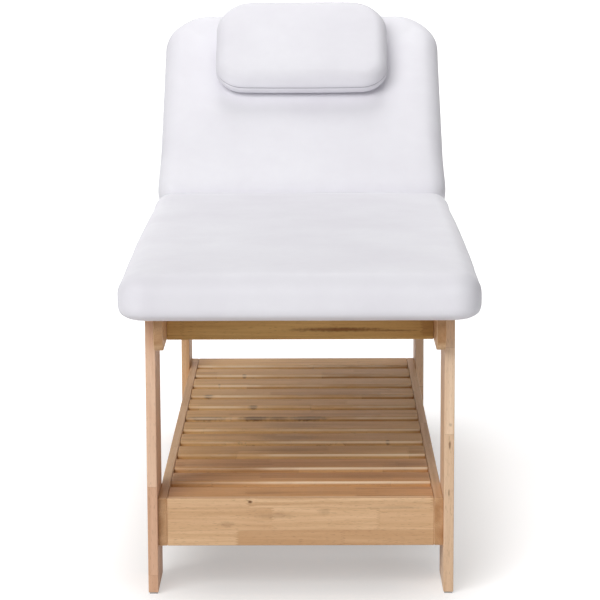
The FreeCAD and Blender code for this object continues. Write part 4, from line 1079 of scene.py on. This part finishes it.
def make_floor():
    """White studio floor that turns up behind the bed; it keeps the bed's shadow and carries a
    painted shadow under the bed.
    """
    half_wide = 14.0
    front = -12.0
    bend_start = 7.0
    bend = 3.0
    back_top = 12.0
    profile = [(front, 0.0), (bend_start, 0.0)]
    for step in range(1, BEND_STEPS + 1):
        angle = math.pi / 2 * step / BEND_STEPS
        profile.append((bend_start + bend * math.sin(angle), bend * (1 - math.cos(angle))))
    profile.append((bend_start + bend, back_top))
    vertices = [(side * half_wide, y, z) for y, z in profile for side in (-1, 1)]
    faces = [(2 * k, 2 * k + 1, 2 * k + 3, 2 * k + 2) for k in range(len(profile) - 1)]
    material, g = new_material("studio_floor")
    seen = g.seen()
    place = g.place()
    beside = g.vector_math("SUBTRACT", g.vector_math("ABSOLUTE", place), UNDER_HALF)
    away = g.vector_math("LENGTH", g.vector_math("MAXIMUM", beside, (0.0, 0.0, 0.0)))
    # Painted shadow: under the bed the floor is seen darker and its glow is lowered.
    under = g.remap(away, *UNDER_FADE, 1.0, 0.0, True)
    strength = g.remap(g.vector_math("LENGTH", place), *FAR_FADE, FLOOR_GLOW, 1.0, True)
    strength = g.plus(strength, g.times(under, g.math("SUBTRACT", SHADOW_GLOW, strength)))
    shadow_tint = g.mix(g.times(seen, under), (0.86, 0.86, 0.87, 1.0), (0.45, 0.44, 0.43, 1.0))
    matte = g.add("ShaderNodeBsdfDiffuse", {"Color": shadow_tint})
    glow = g.add("ShaderNodeEmission", {"Color": (1, 1, 1, 1),
                                        "Strength": g.times(seen, strength)})
    both = g.add("ShaderNodeAddShader", {0: matte, 1: glow})
    g.add("ShaderNodeOutputMaterial", {0: both}, None)
    mesh_object("studio_floor", vertices, faces, material)


def make_world():
    world = bpy.data.worlds.new("studio")
    bpy.context.scene.world = world
    world.use_nodes = True
    g = Graph(world.node_tree)
    strength = g.remap(g.seen(), 0.0, 1.0, WORLD_STRENGTH, 1.0)
    background = g.add("ShaderNodeBackground", {"Color": (1, 1, 1, 1), "Strength": strength})
    g.add("ShaderNodeOutputWorld", {0: background}, None)


def soft_light(name, place, target, size, power):
    light = bpy.data.lights.new(name, "AREA")
    light.shape = "RECTANGLE"
    light.size, light.size_y = size
    light.energy = power
    obj = bpy.data.objects.new(name, light)
    obj.location = place
    obj.rotation_euler = (Vector(target) - Vector(place)).to_track_quat("-Z", "Y").to_euler()
    bpy.context.scene.collection.objects.link(obj)


IMAGE_SIZE = 600
FOCAL_PIXELS = 2453.9
SENSOR = 36.0
CAMERA_X = 22.7 * MM
CAMERA_BEFORE_LEGS = 4724.6 * MM
CAMERA_Z = 1413.1 * MM
CAMERA_PITCH = math.radians(90 - 9.825)
CAMERA_YAW = math.radians(0.271)
CAMERA_ROLL = math.radians(-0.212)


def make_camera():
    """Camera at the photograph's place, found from the edges of the bed."""
    data = bpy.data.cameras.new("camera")
    data.sensor_width = SENSOR
    data.lens = FOCAL_PIXELS * SENSOR / IMAGE_SIZE
    data.clip_end = 60.0
    camera = bpy.data.objects.new("camera", data)
    leg_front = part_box("left_foot_leg")[0].y
    camera.matrix_world = (
        Matrix.Translation((CAMERA_X, leg_front - CAMERA_BEFORE_LEGS, CAMERA_Z))
        @ Matrix.Rotation(CAMERA_YAW, 4, "Z") @ Matrix.Rotation(CAMERA_PITCH, 4, "X")
        @ Matrix.Rotation(CAMERA_ROLL, 4, "Z"))
    bpy.context.scene.collection.objects.link(camera)
    bpy.context.scene.camera = camera


make_floor()
make_world()
soft_light("key_light", (-6.5, -11.2, 9.1), (0.0, -0.2, 0.6), (11.0, 9.0), 1650.0)
soft_light("fill_light", (7.5, -11.2, 4.6), (0.0, -0.2, 0.6), (6.5, 5.5), 190.0)
soft_light("top_light", (0.0, 1.5, 3.8), (0.0, 0.4, 0.6), (2.0, 2.0), 46.0)
make_camera()

bpy.context.scene.view_settings.view_transform = "Standard"
